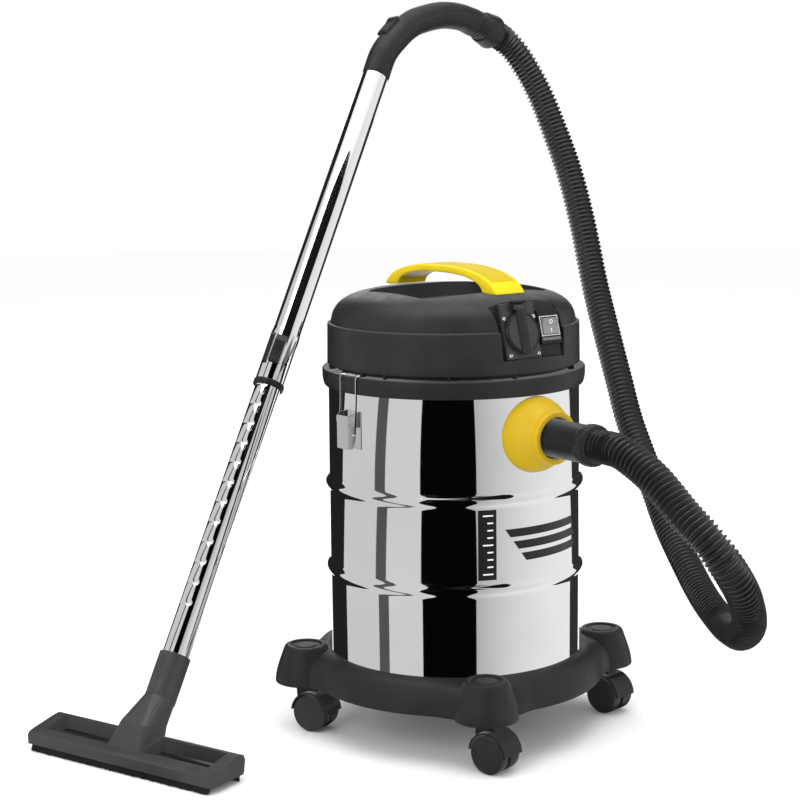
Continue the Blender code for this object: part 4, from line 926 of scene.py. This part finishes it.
# ---------------------------------------------------------------- head
def make_head():
    cover = [(0, 0.4910), (0.1655, 0.4910), (0.1664, 0.4914), (0.1667, 0.4922), (0.1665, 0.5000),
             (0.1660, 0.5300), (0.1658, 0.5425), (0.1655, 0.5436), (0.1647, 0.5441), (0.1624, 0.5444),
             (0.1617, 0.5448), (0.1613, 0.5456), (0.1608, 0.5490), (0.1598, 0.5535), (0.1583, 0.5580),
             (0.1562, 0.5622), (0.1535, 0.5660), (0.1498, 0.5700), (0.1445, 0.5740), (0.1370, 0.5780),
             (0.1270, 0.5815), (0.1150, 0.5842), (0.1000, 0.5864), (0.0750, 0.5881), (0, 0.5888)]
    inner = [(0, 0.4800), (0.1635, 0.4800), (0.1628, 0.5410), (0.1590, 0.5430), (0.1556, 0.5560),
             (0.1525, 0.5615), (0.1475, 0.5670), (0.1360, 0.5740), (0.1145, 0.5805), (0.0800, 0.5838),
             (0, 0.5858)]
    shell = turned("cover", cover, 128, MACHINE)
    room = turned("room", inner, 96, MACHINE)
    half_x, half_y, floor = POCKET
    forward = MACHINE @ shift(y=POCKET_Y)
    tray = extruded("tray", rounded_rectangle(half_x + 0.003, half_y + 0.003, 0.025, 10),
                    floor - 0.003, 0.62, move=forward)
    bay_box = slab("bay_box", (-0.0600, -0.060, -0.0040), (0.0610, 0.0068, 0.0940), move=PANEL)
    scoop_room = slab("scoop_room", (-0.0560, -0.060, 0.0690), (0.0585, 0.0190, 0.0970), move=PANEL)
    room = cut(room, [tray, bay_box, scoop_room])
    sections = []
    for z, grow in ((floor, -0.0045), (floor + 0.0012, -0.0018), (floor + 0.0060, -0.0008),
                    (0.5900, 0.0012), (0.6200, 0.0060)):
        sections.append([Vector((x, y, z)) for x, y in
                         rounded_rectangle(half_x + grow, half_y + grow, 0.022 + grow, 10)])
    pocket = lofted("pocket", sections, forward)
    deep = 0.0036
    walls = [(0.0, -0.0460, 0.0562, deep), (0.0380, -0.0490, 0.0560, deep), (0.0700, -0.0515, 0.0540, deep)]
    for k in range(1, 13):
        rise = radians(7.3 * k)
        walls.append((0.0700 + 0.0225 * sin(rise), -0.0515 * cos(rise), 0.0540 * cos(rise),
                      deep + 0.0120 * sin(rise) ** 2))
    bay = lofted("bay", [[Vector((left, -0.0700, z)), Vector((right, -0.0700, z)),
                          Vector((right, back, z)), Vector((left, back, z))]
                         for z, left, right, back in walls], PANEL)
    gland = rod("gland_hole", 0.0075, 0.15, 0.18, 24, MACHINE @ turn_z(180) @ shift(z=0.5150) @ TO_Y)
    data = cut(shell, [room, pocket, bay, gland])
    piece("head_shell", data, "cover", stands_for=("head_cover",), angle=32.0)
    block = slab("panel_block", (-0.0375, -0.0002, 0.0018), (0.0520, deep + 0.0004, 0.0710), 0.0006, PANEL)
    piece("panel_block", block, "deep")

    base = [(0.0450, 0.4855), (0.1520, 0.4855), (0.1520, 0.4980), (0.1525, 0.4985), (0.1540, 0.4985),
            (0.1545, 0.4980), (0.1545, 0.4855), (0.1718, 0.4855), (0.1728, 0.4851), (0.1734, 0.4842),
            (0.1735, 0.4830), (0.1735, 0.4760), (0.1732, 0.4720), (0.1724, 0.4680), (0.1713, 0.4642),
            (0.1706, 0.4633), (0.1697, 0.4633), (0.1692, 0.4640), (0.1696, 0.4700), (0.1698, 0.4720),
            (0.1698, 0.4815), (0.1590, 0.4815), (0.1590, 0.4420), (0.1565, 0.4420), (0.1565, 0.4815),
            (0.0450, 0.4815)]
    parts = [turned("base", base, 144)]
    for bearing in (-115.0, -96.6, -82.7, -69.6, -40.0, -10.0, 31.0, 72.0, 113.0, 154.0, 195.0, 220.0):
        parts.append(slab("rib", (-0.0011, -0.1662, 0.4850), (0.0011, -0.1580, 0.4908), 0.0,
                          turn_z(bearing)))
    data = joined("head_ring", parts)
    data.transform(MACHINE)
    piece("head_ring", data, "black", stands_for=("head_base",), angle=35.0)


def make_carry_handle():
    over = smooth_path([(0, 0.1180, 0.5872), (0, 0.1160, 0.5910), (0, 0.1125, 0.5948),
                        (0, 0.1000, 0.6036), (0, 0.0790, 0.6108), (0, 0.0520, 0.6158),
                        (0, 0.0240, 0.6180), (0, 0, 0.6182)], 0.005)
    under = smooth_path([(0, 0, 0.6090), (0, 0.0240, 0.6086), (0, 0.0500, 0.6064), (0, 0.0700, 0.6022),
                         (0, 0.0810, 0.5980), (0, 0.0875, 0.5930), (0, 0.0900, 0.5878)], 0.005)
    top = [(p.y, p.z) for p in over]
    low = [(p.y, p.z) for p in under]
    loop = list(reversed(top)) + [(0.1100, 0.5862)] + list(reversed(low))
    loop += [(-y, z) for y, z in low[1:]] + [(-0.1100, 0.5862)] + [(-y, z) for y, z in top[:-1]]
    data = extruded("handle", loop, -0.0240, 0.0240, "YZ", 0.0019, MACHINE, 3)
    piece("grip_arch", data, "yellow", stands_for=("carry_handle",), angle=40.0)
    line = [p for p in over if abs(p.y) < 0.1040]
    curve = [Vector((0, -p.y, p.z)) for p in line] + [p for p in reversed(line[:-1])]
    bm = bmesh.new()
    rows = []
    for point in curve:
        rows.append([bm.verts.new((x, point.y, point.z + lift)) for x, lift in
                     ((-0.0196, -0.0004), (-0.0190, 0.00045), (0.0190, 0.00045), (0.0196, -0.0004))])
    for row, after in zip(rows, rows[1:]):
        bridge(bm, row, after)
    bm.faces.new(rows[0])
    bm.faces.new(rows[-1])
    piece("grip_pad", mesh_from(bm, "grip_pad", MACHINE), "yellow_top", angle=40.0)


# ---------------------------------------------------------------- panel
def make_panel_details():
    x = SOCKET_X
    lid_at = PANEL @ shift(x, 0, 0.0340)
    rim = [(LID_R - 0.0024, 0.0098), (LID_R - 0.0004, 0.0098), (LID_R, 0.0102), (LID_R - 0.0004, 0.0106),
           (LID_R - 0.0020, 0.0106), (LID_R - 0.0024, 0.0102)]
    piece("lid_rim", turned("lid_rim", rim, 64, lid_at @ TO_Y), "black_smooth", "socket_lid")
    strap = extruded("strap_pad", ((-0.0056, 0.0), (-0.0050, -0.0560), (0.0050, -0.0560), (0.0056, 0.0)),
                     -0.0134, -0.0127, "XZ", 0.0003, PANEL @ shift(x, 0, 0.0625))
    piece("lid_strap_pad", strap, "black", "socket_lid")
    hinge = slab("hinge_cap", (x - 0.0125, -0.0108, 0.0706), (x + 0.0125, -0.0046, 0.0740), 0.0008, PANEL)
    piece("hinge_cap", hinge, "deep")
    for k, (dx, z) in enumerate(SOCKET_SCREWS):
        turn = Matrix.Rotation(radians(24 + 47 * k), 4, "Y")
        slot = slab("slot", (-0.0019, -0.0066, -0.0003), (0.0019, -0.0061, 0.0003), 0.0,
                    PANEL @ shift(x + dx, 0, z) @ turn)
        piece(f"screw_slot_{k + 1}", slot, "deep")

    switch_at = PANEL @ shift(SWITCH_X, 0, 0)
    rock = PANEL @ shift(SWITCH_X, -0.0052, 0.0390) @ Matrix.Rotation(radians(ROCKER_TILT), 4, "X")
    bezel = []
    for low, high in (((-0.0150, -0.0072, 0.0262), (0.0150, -0.0062, 0.0275)),
                      ((-0.0150, -0.0072, 0.0505), (0.0150, -0.0062, 0.0518)),
                      ((-0.0150, -0.0072, 0.0275), (-0.0137, -0.0062, 0.0505)),
                      ((0.0137, -0.0072, 0.0275), (0.0150, -0.0062, 0.0505))):
        bezel.append(slab("bezel", low, high))
    data = joined("switch_bezel", bezel)
    data.transform(switch_at)
    piece("switch_bezel", data, "pale_grey")
    lip = slab("switch_lip", (-0.0150, -0.0072, 0.0205), (0.0150, -0.0060, 0.0245), 0.0004, switch_at)
    piece("switch_lip", lip, "grey_dark")
    ring = [(0.0019, 0.0), (0.0028, 0.0), (0.0028, 0.0004), (0.0019, 0.0004)]
    lean = Matrix.Rotation(atan2(0.0010, 0.0104), 4, "X")
    mark_off = turned("mark_off", ring, 24, rock @ shift(0, -0.0045, 0.0054) @ lean @ TO_Y)
    piece("mark_off", mark_off, "pale", "rocker")
    mark_on = slab("mark_on", (-0.0005, -0.0004, -0.0024), (0.0005, 0.0001, 0.0024), 0.0,
                   rock @ shift(0, -0.0046, -0.0054) @ lean.inverted())
    piece("mark_on", mark_on, "pale", "rocker")


# ---------------------------------------------------------------- inlet, tubes, handle
def make_inlet():
    at = MACHINE @ shift(z=INLET_Z)
    dome = [(0.0288, 0.1400), (0.0486, 0.1400), (0.0490, 0.1420), (0.0490, 0.1640), (0.0486, 0.1680),
            (0.0476, 0.1725), (0.0460, 0.1772), (0.0436, 0.1822), (0.0406, 0.1872), (0.0376, 0.1915),
            (0.0356, 0.1945), (0.0345, 0.1972), (0.0340, 0.2000), (0.0338, 0.2040), (0.0334, 0.2060),
            (0.0324, 0.2070), (0.0272, 0.2070), (0.0263, 0.2064), (0.0260, 0.2050), (0.0260, 0.2015),
            (0.0288, 0.2015)]
    body = turned("boss", dome, 96, at @ TO_Y)
    core = rod("core", DRUM_R + GAP, 0.30, 0.52, 144, MACHINE)
    piece("boss_dome", cut(body, [core]), "amber", stands_for=("inlet_boss",), angle=40.0)
    end = CUFF_END
    cuff = [(0.0195, 0.1660), (0.0230, 0.1660), (0.0237, 0.1668), (0.0238, 0.1680),
            (0.0238, end - 0.0175), (0.0242, end - 0.0165), (0.0252, end - 0.0155),
            (0.0256, end - 0.0145), (0.0256, end - 0.0020), (0.0252, end - 0.0008), (0.0243, end),
            (0.0195, end)]
    body = turned("cuff", cuff, 64, at @ TO_Y)
    dent = rod("dent", 0.0021, 0.0222, 0.0300, 24,
               at @ shift(0, -0.2380, 0) @ Matrix.Rotation(radians(28), 4, "Y")
               @ Matrix.Rotation(pi, 4, "Z") @ TO_X)
    piece("cuff_sleeve", cut(body, [dent]), "black_smooth", stands_for=("hose_cuff_drum",), angle=40.0)
    ribs = []
    for k in range(28):
        ribs.append(slab("rib", (-0.0006, -end + 0.0022, 0.0250), (0.0006, -end + 0.0138, 0.0262), 0.0,
                         Matrix.Rotation(2 * pi * k / 28, 4, "Y")))
    data = joined("cuff_ribs", ribs)
    data.transform(at)
    piece("cuff_ribs", data, "black_smooth")


DETENT_START = 0.4974
DETENT_PITCH = 0.02863
DETENT_BEARING = -166.0


def make_wand():
    top = wand_matrix(0.0)
    upper = [(0.01835, 0.0), (0.0191, 0.0), (0.01925, -0.0006), (0.01925, -0.4080),
             (0.0194, -0.4105), (0.0198, -0.4145), (0.02015, -0.4172), (0.02025, -0.4200),
             (0.02025, -0.4878), (0.0201, -UPPER_LENGTH), (0.01835, -UPPER_LENGTH)]
    piece("tube_upper", turned("tube_upper", upper, 72, top), "chrome", stands_for=("wand_upper",),
          angle=40.0)
    collar = [(0.0178, -0.4888), (0.0208, -0.4888), (0.0214, -0.4894), (0.0216, -0.4905),
              (0.0216, -0.4950), (0.0213, -0.4962), (0.0205, -0.4972), (0.0178, -0.4972)]
    piece("tube_collar", turned("tube_collar", collar, 64, top), "black_smooth",
          stands_for=("wand_collar",), angle=40.0)
    reach = (WAND_HEAD - WAND_FOOT).length
    marks = [LOWER_TOP, 0.4900]
    for k in range(12):
        spot = DETENT_START + DETENT_PITCH * k
        marks += [spot - 0.0042, spot - 0.0026, spot - 0.0014, spot, spot + 0.0014, spot + 0.0026,
                  spot + 0.0042]
    marks.append(reach + 0.0380)
    sides = 72
    rings = []
    for mark in marks:
        depth = 0.0
        for k in range(12):
            away = abs(mark - DETENT_START - DETENT_PITCH * k)
            if away < 0.0035:
                depth = 0.0012 * (1 - (away / 0.0035) ** 2)
        ring = []
        for k in range(sides):
            angle = 2 * pi * k / sides
            off = abs((degrees(angle) - DETENT_BEARING + 180) % 360 - 180)
            local = 0.0175 - depth * max(0.0, 1 - (off / 33.0) ** 4)
            ring.append(Vector((local * cos(angle), local * sin(angle), -mark)))
        rings.append(ring)
    inner = [[Vector((0.0163 * cos(2 * pi * k / sides), 0.0163 * sin(2 * pi * k / sides), z))
              for k in range(sides)] for z in (-(reach + 0.0380), -LOWER_TOP)]
    rings += inner
    bm = bmesh.new()
    loops = [[bm.verts.new(p) for p in ring] for ring in rings]
    for ring, after in zip(loops, loops[1:] + loops[:1]):
        bridge(bm, ring, after)
    piece("tube_lower", mesh_from(bm, "tube_lower", top), "chrome", "telescope",
          stands_for=("wand_lower",), angle=40.0)


def fine_handle():
    """The handle's centre line again with close steps up to the hose cuff, and the cuff's line."""
    coarse_body, cuff = handle_parts()
    path = handle_path(0.0030)
    stop = min(range(len(path)), key=lambda i: (path[i] - coarse_body[-1]).length)
    return path[:stop] + [coarse_body[-1]], cuff


def make_handle():
    along, across = wand_frame()
    side = along.cross(across)
    body, cuff = fine_handle()
    body = [p + AXIS for p in body]
    cuff = [p + AXIS for p in cuff]
    radii = []
    for i in range(len(body)):
        near_end = max(0.0, 1 - (len(body) - 1 - i) / 5)
        near_foot = max(0.0, 1 - i / 3)
        radii.append(HANDLE_R + 0.0010 * near_end ** 0.5 - 0.0006 * near_foot ** 2)
    outer = sweep(body, radii, 56, side)
    piece("handle_grip", lofted("handle_grip", outer), "black", stands_for=("handle_pipe",), angle=50.0)
    for name, sign in (("seam_left", -1), ("seam_right", 1)):
        line = []
        for point, (_, one, _) in zip(body, path_frames(body, side)):
            line.append(point + one * sign * 0.0199)
        line = line[2:-3]
        piece(f"handle_{name}", lofted(name, sweep(line, [0.00045] * len(line), 8, side)),
              "black_smooth", angle=60.0)
    fine = smooth_path([tuple(p) for p in cuff], 0.0012)
    total = sum((b - a).length for a, b in zip(fine, fine[1:]))
    radii = []
    travelled = 0.0
    for i, point in enumerate(fine):
        if i:
            travelled += (point - fine[i - 1]).length
        if travelled < 0.0205:
            wave = 0.5 - 0.5 * cos(2 * pi * travelled / 0.0068)
            radius = 0.0192 + 0.0016 * wave ** 0.6
        else:
            radius = 0.0205 + 0.0060 * min(1.0, travelled / total * 1.1)
        if total - travelled < 0.0030:
            radius -= 0.0006 * (1 - (total - travelled) / 0.0030)
        radii.append(radius)
    piece("cuff_bellows", lofted("cuff_bellows", sweep(fine, radii, 48, side)), "black_smooth",
          stands_for=("hose_cuff_handle",), angle=50.0)


# ---------------------------------------------------------------- nozzle
NOZZLE = MACHINE @ Matrix.Translation((*NOZZLE_CENTRE, 0)) @ turn_z(NOZZLE_YAW)
TUFTS_PER_ROW = 78
TUFT_HALF = 0.0013
TUFT_ROOT_Z = 0.0088


def make_nozzle():
    dress("nozzle_body", "nozzle", 0.0012, 3)
    rng = random.Random(7)
    around = ((-1, -1), (1, -1), (1, 1), (-1, 1))
    bm = bmesh.new()
    for row, back in ((0, -0.0345), (1, -0.0372), (2, -0.0392)):
        for k in range(TUFTS_PER_ROW):
            x = -STRIP_HALF + 0.0015 + (2 * STRIP_HALF - 0.003) * (k + 0.5 * (row % 2)) / TUFTS_PER_ROW
            foot = 0.0004 + rng.random() * 0.0007
            lean_x = (rng.random() - 0.5) * 0.0012
            lean_y = -0.0022 - 0.0014 * rng.random() if row else -0.0010
            a = [bm.verts.new((x + sx * TUFT_HALF, back + sy * 0.0009, TUFT_ROOT_Z))
                 for sx, sy in around]
            b = [bm.verts.new((x + sx * TUFT_HALF * 1.25 + lean_x, back + sy * 0.0011 + lean_y, foot))
                 for sx, sy in around]
            bm.faces.new(a)
            bm.faces.new(b)
            bridge(bm, a, b)
    piece("brush_tufts", mesh_from(bm, "brush_tufts", NOZZLE), "bristle", "telescope",
          stands_for=("nozzle_brush",))
    steps = []
    for sign in (-1, 1):
        near, far = sorted((sign * 0.0312, sign * 0.1368))
        steps.append(slab("step", (near, -0.0140, 0.0149), (far, -0.0124, 0.0168), 0.0004))
        steps.append(slab("step", (near, 0.0020, 0.0149), (far, 0.0108, 0.0176), 0.0004))
    data = joined("nozzle_steps", steps)
    data.transform(NOZZLE)
    piece("nozzle_steps", data, "black_smooth", "telescope")


def make_filter():
    """Pleated sleeve standing in for the plain filter node, kept within its walls."""
    low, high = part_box("filter")
    centre = Vector(((low[0] + high[0]) / 2, (low[1] + high[1]) / 2, 0))
    outer = (high[0] - low[0]) / 2 - 0.0002
    bm = bmesh.new()
    count = 120
    rings = []
    for z in (low[2], high[2]):
        ring = []
        for k in range(count):
            angle = 2 * pi * k / count
            radius = outer if k % 2 else outer - 0.0060
            ring.append(bm.verts.new((centre.x + radius * cos(angle), centre.y + radius * sin(angle), z)))
        rings.append(ring)
    inner = []
    for z in (low[2], high[2]):
        inner.append([bm.verts.new((centre.x + (outer - 0.0085) * cos(2 * pi * k / count),
                                    centre.y + (outer - 0.0085) * sin(2 * pi * k / count), z))
                      for k in range(count)])
    bridge(bm, *rings)
    bridge(bm, *inner)
    bridge(bm, rings[0], inner[0])
    bridge(bm, rings[1], inner[1])
    piece("filter_pleats", mesh_from(bm, "filter_pleats"), "paper", stands_for=("filter",), angle=20.0)


# ---------------------------------------------------------------- build
camera = make_camera()
hose, hose_line, hose_length = make_hose()
make_studio()
# glowing cards that paint the drum's reflections
make_mirror_bands()
# glowing cards that paint the wand's reflections
make_tube_bands()
make_drum()
make_prints()
for node_name in frame["nodes"]:
    if node_name not in ("hose", "drum"):
        dress(node_name, "black")
make_dolly()
make_wheels()
make_head()
make_carry_handle()
make_panel_details()
make_inlet()
make_wand()
make_handle()
make_nozzle()
make_filter()
for side in ("left", "right"):
    dress(f"latch_bracket_{side}", "zinc", 0.0002)
    dress(f"latch_lever_{side}", "zinc", 0.0003)
    dress(f"latch_bail_{side}", "chrome")
    dress(f"latch_pin_{side}", "chrome")
for k in range(1, 5):
    dress(f"socket_screw_{k}", "chrome")
for node_name, look, bevel in (
        ("drum_gasket", "rubber", 0.0), ("lid_pin", "zinc", 0.0), ("switch_frame", "deep", 0.0004),
        ("socket_lid", "panel", 0.0005), ("socket_plate", "panel", 0.0003),
        ("switch_rocker", "grey", 0.0004), ("motor", "motor", 0.0), ("impeller", "zinc", 0.0),
        ("float", "orange", 0.0005), ("cord_gland", "rubber", 0.0005), ("inlet_tube", "black", 0.0004),
        ("air_slider", "black_smooth", 0.0005), ("lock_button", "black_smooth", 0.0005),
        ("lock_guide", "black_smooth", 0.0004), ("float_cage", "black", 0.0),
        ("nozzle_squeegee", "rubber", 0.0)):
    dress(node_name, look, bevel)

# hidden from reflections, so the drum and the tubes mirror only the studio and its glowing cards that paint
# their reflections
for obj in bpy.context.scene.objects:
    if obj.type != "MESH":
        continue
    if obj.name.startswith(("nozzle", "brush", "cup_", "dolly", "caster", "wheel_", "hub_", "tube_",
                            "handle_", "hose_corrugated", "latch", "wand", "head_", "grip_", "boss_",
                            "cuff_", "inlet_", "lock_", "air_")):
        obj.visible_glossy = False
